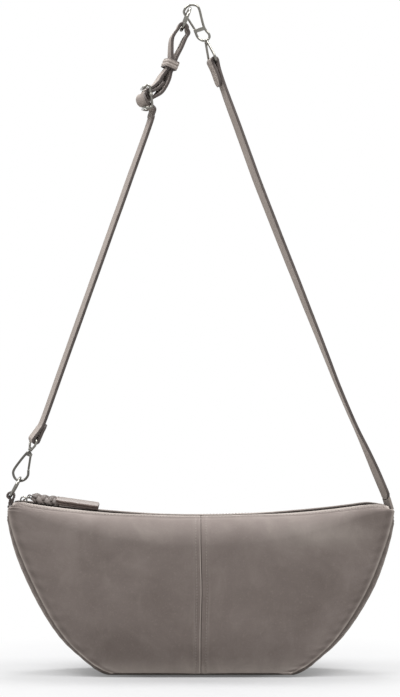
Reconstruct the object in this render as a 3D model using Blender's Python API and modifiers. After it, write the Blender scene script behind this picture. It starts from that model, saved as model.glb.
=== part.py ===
# A half-moon shoulder bag in nubuck leather, with a long strap on two metal clips.
# Metres, +Z up, +X to the right seen from the front, and the front faces -Y.
# The origin is the middle of the flat base.

import bpy
import bmesh
import math
from mathutils import Matrix, Vector

# Running and sewing gap between any two pieces.
GAP = 0.0003
# Play of a pin or stem in its hole.
PLAY = 0.0001

# Bag outline, seen from the front.
BASE_HALF_WIDTH = 0.092
CORNER_HALF_WIDTH = 0.194
SEAM_INSET_BASE = 0.002
SEAM_INSET_SIDE = 0.008
SEAM_LIFT = 0.003
MID_HEIGHT = 0.157
CORNER_LIFT = 0.003
CORNER_HEIGHT = MID_HEIGHT + CORNER_LIFT
ZIP_ARC_RADIUS = 1.150
CORNER_DROP = 0.005
CORNER_RUN = 0.014
CORNER_TUCK = 0.002
OUTLINE_POWER = 4 / 3

# Bag depth, measured from the middle plane.
BASE_HALF_DEPTH = 0.038
CORNER_HALF_DEPTH = 0.024
BELLY_HALF_DEPTH = 0.0455
LIP_SHOULDER = 0.021
LIP_HALF_GAP = 0.008
SHOULDER_SHARE = 0.62
BELLY_SHARE = 0.4
PILLOW_POWER = 3
LEATHER = 0.0024

# Lining and its pocket.
LINING = 0.0006
LINING_INSET = 0.0036
LINING_DROP = 0.0048
POCKET_BULGE = 0.0035
POCKET_THICKNESS = 0.0008

# Zip end caps, set in from the bag's corners.
CAP_THICKNESS = 0.0025
CAP_LENGTH = 0.009
CAP_EDGE = 0.0035
CAP_OUTER = CORNER_HALF_WIDTH - CAP_EDGE
CAP_INNER = CAP_OUTER - CAP_LENGTH

# Zip, set in from its end caps.
COIL_SPACE = 0.0105
COIL_HALF_LENGTH = CAP_INNER - COIL_SPACE
COIL_RADIUS = 0.0010
COIL_CENTRE = 0.0019
TAPE_SPACE = 0.001
TAPE_HALF_LENGTH = COIL_HALF_LENGTH - TAPE_SPACE
TAPE_THICKNESS = 0.0009
TAPE_OUTER = 0.0108
SLIDER_SPACE = 0.0065
SLIDER_PLACE = SLIDER_SPACE - CAP_INNER
SLIDER_HALF_LENGTH = 0.005
SLIDER_HALF_WIDTH = 0.0042
SLIDER_PLATE = 0.0012
SLIDER_POST = 0.0010
SLIDER_POST_LENGTH = 0.0015
BRIDGE_RADIUS = 0.0031
BRIDGE_WIRE = 0.0009
BRIDGE_RISE = 0.0018
LINK_LENGTH = 0.0066
LINK_HALF_WIDTH = 0.0036
LINK_WIRE = 0.00075
LINK_ANGLE = math.radians(30)
PULL_LENGTH = 0.0705
PULL_WIDTH = 0.0092
PULL_THICKNESS = 0.0050
PULL_EYE_WALL = 0.0011
PULL_ANGLE = math.radians(8.2)

# The tab and ring at the left corner, and the ring in the strap's loop.
TAB_WIDTH = 0.0090
TAB_THICKNESS = 0.0018
TAB_SPACE = 0.0055
TAB_PLACE = TAB_SPACE - CAP_OUTER
TAB_RISE = 0.0086
TAB_LEAN = -0.0028
RING_RADIUS = 0.01035
STRAP_RING_RADIUS = 0.0120
STRAP_RING_TILT = math.radians(21)
RING_WIRE = 0.0015
RING_TILT = math.radians(27.6)

# Clips. Lengths run from the end that holds a ring to the end with the stem.
CLIP_WIRE = 0.00125
CLIP_SEAT = 0.0004
LOWER_CLIP_LENGTH = 0.0304
LOWER_CLIP_WIDTH = 0.0151
LOWER_CLIP_TILT = math.radians(21.1)
LOWER_EYE_LENGTH = 0.0140
UPPER_CLIP_LENGTH = 0.0380
UPPER_CLIP_WIDTH = 0.0166
UPPER_CLIP_TILT = math.radians(161.5)
UPPER_EYE_LENGTH = 0.0225
PIN_RADIUS = 0.00055
GATE_HALF_THICKNESS = 0.0008
GATE_RADIUS = 0.0011
BLOCK_HALF_DEPTH = 0.0018
STEM_RADIUS = 0.0009
STEM_LENGTH = 0.0045
STEM_HEAD_RADIUS = 0.0017
STEM_HEAD = 0.0009
BARREL_RADIUS = 0.0023
BARREL_LENGTH = 0.0026
EYE_WIRE = 0.0012
EYE_HALF_WIDTH = 0.0096

# Strap.
STRAP_WIDTH = 0.015
STRAP_THICKNESS = 0.0030
STRAP_PLAY = 0.0003
LOWER_YAW = math.radians(20)
UPPER_YAW = math.radians(19)
CROWN_YAW = math.radians(8)
MAIN_YAW = math.radians(21)
ROOT_YAW = math.radians(24)
LOWER_FLAP = 0.020
UPPER_FLAP = 0.027

# Crown: the buckle, the strap's loop and the keeper, set out from the buckle's centre bar.
CROWN_PLACE = -0.0488
CROWN_RISE = 0.4192
CROWN_HEIGHT = MID_HEIGHT + CROWN_RISE
CROWN_TILT = math.radians(-7.4)
CROWN_LOOP = 0.0672
KEEPER_LENGTH = 0.009
KEEPER_WALL = 0.0018
BUCKLE_WIRE = 0.00125
BUCKLE_HALF_WIDTH = 0.0100

# Strap anchor at the right corner. The strap swings just above it.
ANCHOR_SPACE = 0.0045
ANCHOR_PLACE = CAP_OUTER - ANCHOR_SPACE
ANCHOR_HEIGHT = 0.0047
SWING_PLAY = 0.0005
FOOT_TILT = math.radians(17)

LEATHER_COLOUR = (0.155, 0.128, 0.115)
DARK_LEATHER_COLOUR = (0.045, 0.038, 0.035)
LINING_COLOUR = (0.060, 0.055, 0.052)
TAPE_COLOUR = (0.050, 0.044, 0.042)
METAL_COLOUR = (0.62, 0.62, 0.60)


def clear_scene():
    for item in list(bpy.data.objects):
        bpy.data.objects.remove(item, do_unlink=True)


def make_collection(name, hidden):
    group = bpy.data.collections.new(name)
    bpy.context.scene.collection.children.link(group)
    group.hide_render = hidden
    return group


clear_scene()
BAG = make_collection("shoulder_bag", False)
CUTTERS = make_collection("cutters", True)
MATERIALS = {}


def material(name, colour, roughness, metallic):
    if name not in MATERIALS:
        made = bpy.data.materials.new(name)
        made.use_nodes = True
        shader = made.node_tree.nodes["Principled BSDF"]
        shader.inputs["Base Color"].default_value = (*colour, 1)
        shader.inputs["Roughness"].default_value = roughness
        shader.inputs["Metallic"].default_value = metallic
        MATERIALS[name] = made
    return MATERIALS[name]


def leather():
    return material("nubuck", LEATHER_COLOUR, 0.85, 0)


def dark_leather():
    return material("dark_leather", DARK_LEATHER_COLOUR, 0.7, 0)


def metal():
    return material("polished_metal", METAL_COLOUR, 0.22, 1)


def tape_cloth():
    return material("zip_cloth", TAPE_COLOUR, 0.9, 0)


def lining_cloth():
    return material("lining_cloth", LINING_COLOUR, 0.9, 0)


def add_object(name, data, finish, matrix=None, group=None):
    item = bpy.data.objects.new(name, data)
    (group or BAG).objects.link(item)
    if finish is not None:
        data.materials.append(finish)
    if matrix is not None:
        item.matrix_world = matrix
    return item


def mesh_from(build_mesh, name):
    mesh = bpy.data.meshes.new(name)
    build_mesh.to_mesh(mesh)
    build_mesh.free()
    return mesh


def thicken(item, thickness, offset):
    solid = item.modifiers.new("thickness", "SOLIDIFY")
    solid.thickness = thickness
    solid.offset = offset
    solid.use_even_offset = True
    return solid


def round_off(item):
    item.data.shade_smooth()
    item.data.set_sharp_from_angle(angle=math.radians(40))


def grid_sheet(name, rows, finish, outward, closed=False):
    """An open surface through rows of points, its faces turned the way that outward(point) points."""
    made = bmesh.new()
    points = [[made.verts.new(point) for point in row] for row in rows]
    for lower, upper in zip(points, points[1:]):
        ends = len(lower) if closed else len(lower) - 1
        for i in range(ends):
            j = (i + 1) % len(lower)
            made.faces.new((lower[i], lower[j], upper[j], upper[i]))
    made.normal_update()
    lean = sum(face.normal.dot(outward(face.calc_center_median())) for face in made.faces)
    if lean < 0:
        bmesh.ops.reverse_faces(made, faces=made.faces[:])
    return add_object(name, mesh_from(made, name), finish)


def wire(name, points, radius, finish, matrix=None, cyclic=False, sides=2):
    curve = bpy.data.curves.new(name, "CURVE")
    curve.dimensions = "3D"
    curve.bevel_depth = radius
    curve.bevel_resolution = sides
    curve.use_fill_caps = True
    line = curve.splines.new("POLY")
    line.points.add(len(points) - 1)
    for place, point in zip(line.points, points):
        place.co = (*point, 1)
    line.use_cyclic_u = cyclic
    return add_object(name, curve, finish, matrix)


def flat_plate(name, outlines, half_thickness, finish, matrix=None):
    """A flat outline with holes in its local XY plane, extruded both ways along Z."""
    curve = bpy.data.curves.new(name, "CURVE")
    curve.dimensions = "2D"
    curve.fill_mode = "BOTH"
    curve.extrude = half_thickness
    for outline in outlines:
        line = curve.splines.new("POLY")
        line.points.add(len(outline) - 1)
        for place, point in zip(line.points, outline):
            place.co = (point[0], point[1], 0, 1)
        line.use_cyclic_u = True
    return add_object(name, curve, finish, matrix)


def as_mesh(item):
    """The same solid as a mesh object in the same place, with its caps welded."""
    bpy.context.view_layer.update()
    graph = bpy.context.evaluated_depsgraph_get()
    mesh = bpy.data.meshes.new_from_object(item.evaluated_get(graph))
    welded = bmesh.new()
    welded.from_mesh(mesh)
    bmesh.ops.remove_doubles(welded, verts=welded.verts[:], dist=0.00001)
    bmesh.ops.recalc_face_normals(welded, faces=welded.faces[:])
    welded.to_mesh(mesh)
    welded.free()
    place = item.matrix_world.copy()
    name = item.name
    group = item.users_collection[0]
    bpy.data.objects.remove(item, do_unlink=True)
    solid = bpy.data.objects.new(name, mesh)
    group.objects.link(solid)
    solid.matrix_world = place
    return solid


def tool(item):
    """Moves a mesh among the cutters."""
    for group in list(item.users_collection):
        group.objects.unlink(item)
    CUTTERS.objects.link(item)
    item.hide_render = True
    item.display_type = "WIRE"
    return item


def carry(item, other):
    """Parents other to item and leaves it where it is."""
    bpy.context.view_layer.update()
    place = other.matrix_world.copy()
    other.parent = item
    other.matrix_parent_inverse = item.matrix_world.inverted()
    other.matrix_world = place


def axis_empty(name, matrix, carried):
    """An empty on a joint's axis that carries the named pieces."""
    item = add_object(name, None, None, matrix)
    for word in carried:
        carry(item, bpy.data.objects[word])


def combine(item, other, operation):
    carry(item, other)
    step = item.modifiers.new(operation.lower(), "BOOLEAN")
    step.operation = operation
    step.solver = "EXACT"
    step.object = tool(other)


def box(name, low, high, finish, matrix=None):
    made = bmesh.new()
    bmesh.ops.create_cube(made, size=1)
    low, high = Vector(low), Vector(high)
    size = high - low
    middle = (low + high) / 2
    for vert in made.verts:
        vert.co = Vector([middle[i] + vert.co[i] * size[i] for i in range(3)])
    return add_object(name, mesh_from(made, name), finish, matrix)


def cylinder(name, radius, length, finish, matrix, sides=20):
    """A cylinder along its local Z axis, from 0 to length."""
    made = bmesh.new()
    bmesh.ops.create_cone(made, cap_ends=True, segments=sides, radius1=radius, radius2=radius, depth=length)
    bmesh.ops.translate(made, verts=made.verts[:], vec=(0, 0, length / 2))
    return add_object(name, mesh_from(made, name), finish, matrix)


def soften(item, width, segments=2):
    edge = item.modifiers.new("soft_edges", "BEVEL")
    edge.width = width
    edge.segments = segments
    edge.limit_method = "ANGLE"


def circle(radius, centre=(0, 0), count=16, clockwise=False):
    turn = -1 if clockwise else 1
    angles = [turn * 2 * math.pi * i / count for i in range(count)]
    return [(centre[0] + radius * math.cos(a), centre[1] + radius * math.sin(a)) for a in angles]


def smooth_line(points, per_span):
    """Points along a Catmull-Rom curve through the given ones."""
    ends = [points[0] * 2 - points[1], *points, points[-1] * 2 - points[-2]]
    line = []
    for a, b, c, d in zip(ends, ends[1:], ends[2:], ends[3:]):
        for i in range(per_span):
            t = i / per_span
            pull = b * 2 + (c - a) * t + (a * 2 - b * 5 + c * 4 - d) * t ** 2
            line.append((pull + (b * 3 - a - c * 3 + d) * t ** 3) / 2)
    line.append(points[-1])
    return line


def frame_at(origin, tilt, yaw):
    """Local X runs across, local Z along, and local Y away from the viewer."""
    return Matrix.Translation(Vector(origin)) @ Matrix.Rotation(tilt, 4, "Y") @ Matrix.Rotation(yaw, 4, "Z")


# Bag body.


def zip_height(x):
    return MID_HEIGHT + ZIP_ARC_RADIUS - math.sqrt(ZIP_ARC_RADIUS ** 2 - x ** 2)


def top_height(x):
    start = CORNER_HALF_WIDTH - SEAM_INSET_SIDE - CORNER_RUN
    past = max(0, abs(x) - start)
    return zip_height(x) - CORNER_DROP * (past / CORNER_RUN) ** 2


def rise_shares(phi):
    across = math.sin(phi) ** OUTLINE_POWER
    up = 1 - max(0, math.cos(phi)) ** OUTLINE_POWER
    return across, up


def seam_point(phi):
    across, up = rise_shares(phi)
    low = BASE_HALF_WIDTH - SEAM_INSET_BASE
    high = CORNER_HALF_WIDTH - SEAM_INSET_SIDE
    return low + (high - low) * across, SEAM_LIFT + (CORNER_HEIGHT - SEAM_LIFT) * up


def gusset_point(phi):
    across, up = rise_shares(phi)
    return BASE_HALF_WIDTH + (CORNER_HALF_WIDTH - BASE_HALF_WIDTH) * across, CORNER_HEIGHT * up


def seam_half_depth(up):
    return BASE_HALF_DEPTH + (CORNER_HALF_DEPTH - BASE_HALF_DEPTH) * up ** 1.3


def body_half_depth(u, up):
    belly = math.sin(min(up / BELLY_SHARE, 1) * math.pi / 2)
    middle = BASE_HALF_DEPTH + (BELLY_HALF_DEPTH - BASE_HALF_DEPTH) * belly
    seam = seam_half_depth(up)
    return seam + (middle - seam) * (1 - u ** PILLOW_POWER)


def shoulder_height(u, top, low):
    """Height at which the panel starts to roll in, for a column at share u of the half width."""
    end_top = top_height(CORNER_HALF_WIDTH - SEAM_INSET_SIDE)
    end_share = (CORNER_HEIGHT - SEAM_LIFT) / (end_top - SEAM_LIFT)
    share = SHOULDER_SHARE + (end_share - SHOULDER_SHARE) * u ** 2
    return low + (top - low) * share


BODY_ROWS = 9
SHOULDER_ROWS = 5


def body_rows(low, inset, drop):
    """One function a row, base seam to shoulder's end: from a column's share u to (x, half depth, z)."""
    rows = []
    for k in range(BODY_ROWS + 1):
        phi = math.pi / 2 * k / BODY_ROWS
        rows.append((phi, 0))
    for k in range(1, SHOULDER_ROWS + 1):
        rows.append((math.pi / 2, math.pi / 2 * k / SHOULDER_ROWS))

    def row_point(phi, theta, u):
        width, _ = seam_point(phi)
        _, up = rise_shares(phi)
        x = u * (width - inset - CORNER_TUCK * (1 - math.cos(theta)))
        top = top_height(x) - drop
        start = shoulder_height(u, top, low)
        depth = body_half_depth(u, up) - inset
        end = LIP_SHOULDER - inset
        if theta == 0:
            return x, depth, low + (start - low) * up
        return x, end + (depth - end) * math.cos(theta), start + (top - start) * math.sin(theta)

    return [lambda u, p=phi, t=theta: row_point(p, t, u) for phi, theta in rows]


COLUMN_SHARES = (0, 0.11, 0.22, 0.33, 0.44, 0.55, 0.66, 0.76, 0.85, 0.935, 0.97, 1)


def panel(name, left_share, right_share, side):
    """A front (side -1) or back (side 1) panel, between two signed shares of the half width."""
    rows = []
    shares = [-share for share in COLUMN_SHARES[:0:-1]] + list(COLUMN_SHARES)
    shares = [share for share in shares if left_share <= share <= right_share]
    for row_point in body_rows(SEAM_LIFT, 0, 0):
        row = []
        for share in shares:
            x, depth, z = row_point(abs(share))
            row.append(((x if share > 0 else -x), side * depth, z))
        rows.append(row)
    for k in (1, 2, 3):
        depth = LIP_SHOULDER + (LIP_HALF_GAP - LIP_SHOULDER) * k / 3
        rows.append([(point[0], side * depth, point[2]) for point in rows[-1]])
    if left_share == 0:
        rows = [[(max(p[0], GAP / 2), p[1], p[2]) for p in row] for row in rows]
    if right_share == 0:
        rows = [[(min(p[0], -GAP / 2), p[1], p[2]) for p in row] for row in rows]
    inside = Vector((0, 0, MID_HEIGHT / 2))
    item = grid_sheet(name, rows, leather(), lambda p: p - Vector((p.x, 0, inside.z)))
    thicken(item, LEATHER, -1)
    round_off(item)
    return item


GUSSET_FLAT_SHARE = 0.55
GUSSET_SHARES = (-1, -0.9, -0.78, -0.66, -GUSSET_FLAT_SHARE, 0, GUSSET_FLAT_SHARE, 0.66, 0.78, 0.9, 1)
GUSSET_BASE_SHARES = (0.66, 0.33)


def gusset():
    """One strip from the left corner, under the base, to the right corner."""
    stations = []
    top = top_height(CORNER_HALF_WIDTH - SEAM_INSET_SIDE) - LEATHER - 2 * GAP
    seam_x = CORNER_HALF_WIDTH - SEAM_INSET_SIDE - CORNER_TUCK
    stations.append(((seam_x, top), (CORNER_HALF_WIDTH - SEAM_LIFT, top), LIP_SHOULDER - LEATHER - GAP))
    count = 14
    for k in range(count, -1, -1):
        phi = math.pi / 2 * k / count
        depth = seam_half_depth(rise_shares(phi)[1]) - LEATHER - GAP
        stations.append((seam_point(phi), gusset_point(phi), depth))
    for share in GUSSET_BASE_SHARES:
        seam = ((BASE_HALF_WIDTH - SEAM_INSET_BASE) * share, SEAM_LIFT)
        stations.append((seam, (BASE_HALF_WIDTH * share, 0), BASE_HALF_DEPTH - LEATHER - GAP))
    stations.append(((0, SEAM_LIFT), (0, 0), BASE_HALF_DEPTH - LEATHER - GAP))
    left = [((-s[0], s[1]), (-g[0], g[1]), d) for s, g, d in stations[:-1]]
    stations = left + stations[::-1]
    rows = []
    for seam, crown, depth in stations:
        row = []
        for t in GUSSET_SHARES:
            past = max(0, abs(t) - GUSSET_FLAT_SHARE) / (1 - GUSSET_FLAT_SHARE)
            full = 1 - past ** 2
            x = seam[0] + (crown[0] - seam[0]) * full
            z = seam[1] + (crown[1] - seam[1]) * full
            row.append((x, t * depth, z))
        rows.append(row)
    item = grid_sheet("gusset", rows, leather(), lambda p: p - Vector((0, p.y, MID_HEIGHT)))
    thicken(item, LEATHER, -1)
    round_off(item)
    return item


LINING_SHARES = (0, 0.3, 0.6, 0.85, 1)
POCKET_SIDE_SHARE = LINING_SHARES[1]
POCKET_LOW_ROW = 3
POCKET_HIGH_ROW = 8


def lining():
    """An open pouch just inside the leather, made of closed rings on a flat floor."""
    rings = []
    floor = SEAM_LIFT + LEATHER + GAP
    shares = [-share for share in LINING_SHARES[:0:-1]] + list(LINING_SHARES)
    for row_point in body_rows(floor, LINING_INSET, LINING_DROP):
        front = []
        back = []
        for share in shares:
            x, depth, z = row_point(abs(share))
            front.append(((x if share > 0 else -x), -depth, z))
            back.append(((x if share > 0 else -x), depth, z))
        rings.append(front + back[::-1])
    inside = Vector((0, 0, MID_HEIGHT / 2))
    item = grid_sheet("lining", rings, lining_cloth(), lambda p: p - inside, closed=True)
    made = bmesh.new()
    made.from_mesh(item.data)
    made.verts.ensure_lookup_table()
    count = len(rings[0])
    half = count // 2
    for i in range(half - 1):
        corners = (i + 1, i, count - 1 - i, count - 2 - i)
        made.faces.new([made.verts[k] for k in corners])
    bmesh.ops.recalc_face_normals(made, faces=made.faces[:])
    made.normal_update()
    made.faces.ensure_lookup_table()
    if made.faces[-1].normal.z > 0:
        bmesh.ops.reverse_faces(made, faces=made.faces[:])
    made.to_mesh(item.data)
    made.free()
    thicken(item, LINING, -1)
    return item


def inner_pocket():
    """A slip pocket on the lining's back wall, open at the top."""
    floor = SEAM_LIFT + LEATHER + GAP
    rows = []
    body = body_rows(floor, LINING_INSET + LINING + GAP, LINING_DROP)[POCKET_LOW_ROW:POCKET_HIGH_ROW + 1]
    for k, row_point in enumerate(body):
        left = Vector(row_point(POCKET_SIDE_SHARE))
        middle = Vector(row_point(0))
        row = []
        for i in range(-4, 5):
            place = middle.lerp(left, abs(i) / 4)
            swell = POCKET_BULGE * (1 - (i / 4) ** 2) * math.sqrt(k / (len(body) - 1))
            row.append((math.copysign(place.x, i), place.y - swell, place.z))
        rows.append(row)
    item = grid_sheet("inner_pocket", rows, lining_cloth(), lambda p: Vector((0, 1, 0)))
    thicken(item, POCKET_THICKNESS, -1)
    return item


def end_cap(name, side):
    """Leather that closes the mouth past the end of the zip, on top of the gusset's end."""
    low = top_height(CORNER_HALF_WIDTH - SEAM_INSET_SIDE) - LEATHER - GAP
    half = LIP_HALF_GAP - GAP
    inner, outer = sorted((side * CAP_INNER, side * CAP_OUTER))
    item = box(name, (inner, -half, low), (outer, half, low + CAP_THICKNESS), dark_leather())
    soften(item, LEATHER / 4)
    return item


# Zip.


def tape_top(x):
    return zip_height(x) - LEATHER - GAP


def coil_height(x):
    return tape_top(x) - COIL_RADIUS


def zip_half(side, word):
    inner = COIL_CENTRE + COIL_RADIUS + GAP
    count = 20
    xs = [TAPE_HALF_LENGTH * (2 * i / count - 1) for i in range(count + 1)]
    rows = [[(x, side * y, tape_top(x)) for y in (inner, TAPE_OUTER)] for x in xs]
    tape = grid_sheet("zip_tape_" + word, rows, tape_cloth(), lambda p: Vector((0, 0, 1)))
    thicken(tape, TAPE_THICKNESS, -1)
    count = 28
    xs = [COIL_HALF_LENGTH * (2 * i / count - 1) for i in range(count + 1)]
    line = [(x, side * COIL_CENTRE, coil_height(x)) for x in xs]
    wire("zip_coil_" + word, line, COIL_RADIUS, metal(), sides=1)


def slider_frame():
    """On the zip line at the slider, with local X along the line and local Z up from it."""
    slope = math.asin(SLIDER_PLACE / ZIP_ARC_RADIUS)
    return Matrix.Translation((SLIDER_PLACE, 0, zip_height(SLIDER_PLACE))) @ Matrix.Rotation(-slope, 4, "Y")


def zip_slider():
    place = slider_frame()
    coil_top = coil_height(0) + COIL_RADIUS - zip_height(0)
    coil_low = coil_height(0) - COIL_RADIUS - zip_height(0)
    top_low = coil_top + GAP
    top_high = top_low + SLIDER_PLATE
    base_high = coil_low - GAP
    base_low = base_high - SLIDER_PLATE
    length, width = SLIDER_HALF_LENGTH, SLIDER_HALF_WIDTH
    item = box("zip_slider", (-length, -width, top_low), (length, width, top_high), metal(), place)
    post_low = (SLIDER_PLATE - length, -SLIDER_POST / 2, base_high - SLIDER_PLATE / 2)
    post_high = (post_low[0] + SLIDER_POST_LENGTH, SLIDER_POST / 2, top_low + SLIDER_PLATE / 2)
    post = box("slider_post", post_low, post_high, None, place)
    base = box("slider_base", (-length, -width, base_low), (length, width, base_high), None, place)
    foot = top_low + SLIDER_PLATE / 2
    arch = [(-BRIDGE_RADIUS, 0, foot)]
    steps = 10
    for i in range(steps + 1):
        angle = math.pi - math.pi * i / steps
        arch.append((BRIDGE_RADIUS * math.cos(angle), 0, BRIDGE_RISE + BRIDGE_RADIUS * math.sin(angle)))
    arch.append((BRIDGE_RADIUS, 0, foot))
    bridge = as_mesh(wire("slider_bridge", arch, BRIDGE_WIRE, None, place))
    combine(item, post, "UNION")
    combine(item, base, "UNION")
    combine(item, bridge, "UNION")


def link_frame():
    """At the bridge's middle, with local X running out along the pull link."""
    place = slider_frame() @ Matrix.Translation((0, 0, BRIDGE_RISE))
    level = math.asin(SLIDER_PLACE / ZIP_ARC_RADIUS)
    return place @ Matrix.Rotation(level - LINK_ANGLE, 4, "Y")


def zip_puller():
    half = LINK_HALF_WIDTH
    turn = half / 3
    near = []
    corners = (((0, 1), 180), ((1, 1), 90), ((1, -1), 0), ((0, -1), -90))
    for (far, side), start in corners:
        centre = (turn if far == 0 else LINK_LENGTH - turn, side * (half - turn))
        for i in range(4):
            angle = math.radians(start - 90 * i / 3)
            near.append((centre[0] + turn * math.cos(angle), centre[1] + turn * math.sin(angle), 0))
    wire("zip_puller", near, LINK_WIRE, metal(), link_frame(), cyclic=True, sides=1)


PULL_OUTLINE_SHARES = ((0.05, 0.24), (0.10, 0.40), (0.16, 0.49), (0.30, 0.5), (0.37, 0.46), (0.44, 0.5),
                       (0.98, 0.5), (1.0, 0.42))


def pull_frame():
    """At the far end of the link, with local X along the leather pull and local Y across it."""
    far = link_frame() @ Vector((LINK_LENGTH, 0, 0))
    stand = Matrix.Rotation(math.pi / 2, 4, "X")
    return Matrix.Translation(far) @ Matrix.Rotation(PULL_ANGLE, 4, "Y") @ stand


def leather_pull():
    head = LINK_WIRE + GAP + PULL_EYE_WALL
    outline = [(share[0] * PULL_LENGTH, share[1] * PULL_WIDTH) for share in PULL_OUTLINE_SHARES]
    under = [(x, -y) for x, y in outline[::-1]]
    nose = []
    for i in range(9):
        angle = math.radians(-60 - 240 * i / 8)
        nose.append((head * math.cos(angle), head * math.sin(angle)))
    hole = circle(LINK_WIRE + GAP, clockwise=True, count=12)
    outlines = [outline + under + nose, hole]
    flat_plate("leather_pull", outlines, PULL_THICKNESS / 2, dark_leather(), pull_frame())


# Ring, tab and straps.


def ring(name, radius, matrix):
    """A round ring of wire in its local YZ plane, standing on its origin."""
    count = 32
    points = []
    for i in range(count):
        angle = 2 * math.pi * i / count
        points.append((0, radius * math.sin(angle), radius + radius * math.cos(angle)))
    wire(name, points, RING_WIRE, metal(), matrix, cyclic=True)


def ribbon(name, stations, finish):
    """A flat strip through (point, width direction, half width) stations."""
    rows = []
    for point, across, half in stations:
        side = across.normalized() * half
        rows.append([point - side, point + side])
    item = grid_sheet(name, rows, finish, lambda p: Vector((1, 0, 0)))
    thicken(item, STRAP_THICKNESS, 0)
    return item


CAP_TOP = top_height(CORNER_HALF_WIDTH - SEAM_INSET_SIDE) - LEATHER - GAP + CAP_THICKNESS
TAB_ROOT = Vector((TAB_PLACE, 0, CAP_TOP + GAP))
RING_FOOT = TAB_ROOT + Vector((TAB_LEAN, 0, TAB_RISE))
RING_ALONG = Vector((math.sin(RING_TILT), 0, math.cos(RING_TILT)))
RING_TOP = RING_FOOT + RING_ALONG * (2 * RING_RADIUS)


def ring_tab():
    """A strip of leather folded over the ring's foot, both ends on the end cap."""
    sag = RING_RADIUS - math.sqrt(RING_RADIUS ** 2 - TAB_WIDTH ** 2 / 4)
    wrap = RING_WIRE + 2 * GAP + TAB_THICKNESS / 2 + sag / 2
    middle = RING_FOOT + RING_ALONG * (sag / 2)
    half_root = TAB_THICKNESS / 2 + GAP
    rise = Vector((0, 0, TAB_THICKNESS))
    points = [TAB_ROOT + Vector((-half_root, 0, 0)), TAB_ROOT + Vector((-half_root, 0, 0)) + rise]
    steps = 10
    for i in range(steps + 1):
        angle = math.radians(205 - 230 * i / steps)
        points.append(middle + Vector((wrap * math.cos(angle), 0, wrap * math.sin(angle))))
    points += [TAB_ROOT + Vector((half_root, 0, 0)) + rise, TAB_ROOT + Vector((half_root, 0, 0))]
    rows = [[(p.x, -TAB_WIDTH / 2, p.z), (p.x, TAB_WIDTH / 2, p.z)] for p in points]
    item = grid_sheet("ring_tab", rows, dark_leather(), lambda p: Vector((1, 0, 0)))
    thicken(item, TAB_THICKNESS, 0)


LOWER_CLIP_SHARES = {
    "frame": ((0.42, 0.262), (0.26, 0.351), (0.105, 0.258), (0, 0), (0.01, -0.334), (0.125, -0.58),
              (0.283, -0.645), (0.625, -0.47), (0.92, -0.265), (0.982, -0.175), (0.985, -0.06),
              (0.945, 0.03)),
    "gate": ((0.90, 0.045), (0.469, 0.236)),
    "block": ((0.86, -0.24), (0.968, 0.13)),
    "seat": 3,
    "stem": (0.99, -0.11),
}

UPPER_CLIP_SHARES = {
    "frame": ((0.235, 0.60), (0.16, 0.655), (0.088, 0.640), (0.01, 0.446), (-0.02, 0.21), (0, 0),
              (0.06, -0.207), (0.168, -0.277), (0.40, -0.235), (0.63, -0.205), (0.75, -0.253),
              (0.87, -0.355), (0.957, -0.313), (1.0, -0.12), (0.98, 0.115), (0.895, 0.307),
              (0.79, 0.375), (0.715, 0.365)),
    "gate": ((0.665, 0.350), (0.273, 0.572)),
    "block": ((0.635, -0.20), (0.725, 0.46)),
    "seat": 4,
    "stem": (1.0, -0.06),
}


SLOT_SHARE = 0.35
# The way from each ring's wire to the clip's seat.
LOWER_SEAT_SHARES = (-0.053, 0, -0.998)
UPPER_SEAT_SHARES = (-0.12, 0, 1)


def clip_point(shares, length, width):
    return Vector((shares[1] * width, 0, shares[0] * length))


def clip_seat(shares, length, width):
    return clip_point(shares["frame"][shares["seat"]], length, width)


def clip_frame(tilt, seat_local, ring_end, outward):
    """The clip's frame, set so that its seat lies inside the ring, just past the ring's wire."""
    turned = Matrix.Rotation(tilt, 4, "Y")
    reach = RING_WIRE + CLIP_WIRE + CLIP_SEAT
    origin = ring_end + outward.normalized() * reach - (turned @ seat_local)
    return Matrix.Translation(origin) @ turned


def capsule(start, end, radius, count=8):
    along = (end - start).normalized()
    across = Vector((-along.y, along.x))
    points = []
    for centre, turn in ((start, math.pi), (end, 0)):
        for i in range(count + 1):
            angle = turn + math.pi / 2 - math.pi * i / count
            turned = along * math.cos(angle) + across * math.sin(angle)
            points.append(tuple(centre + turned * radius))
    return points


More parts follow.
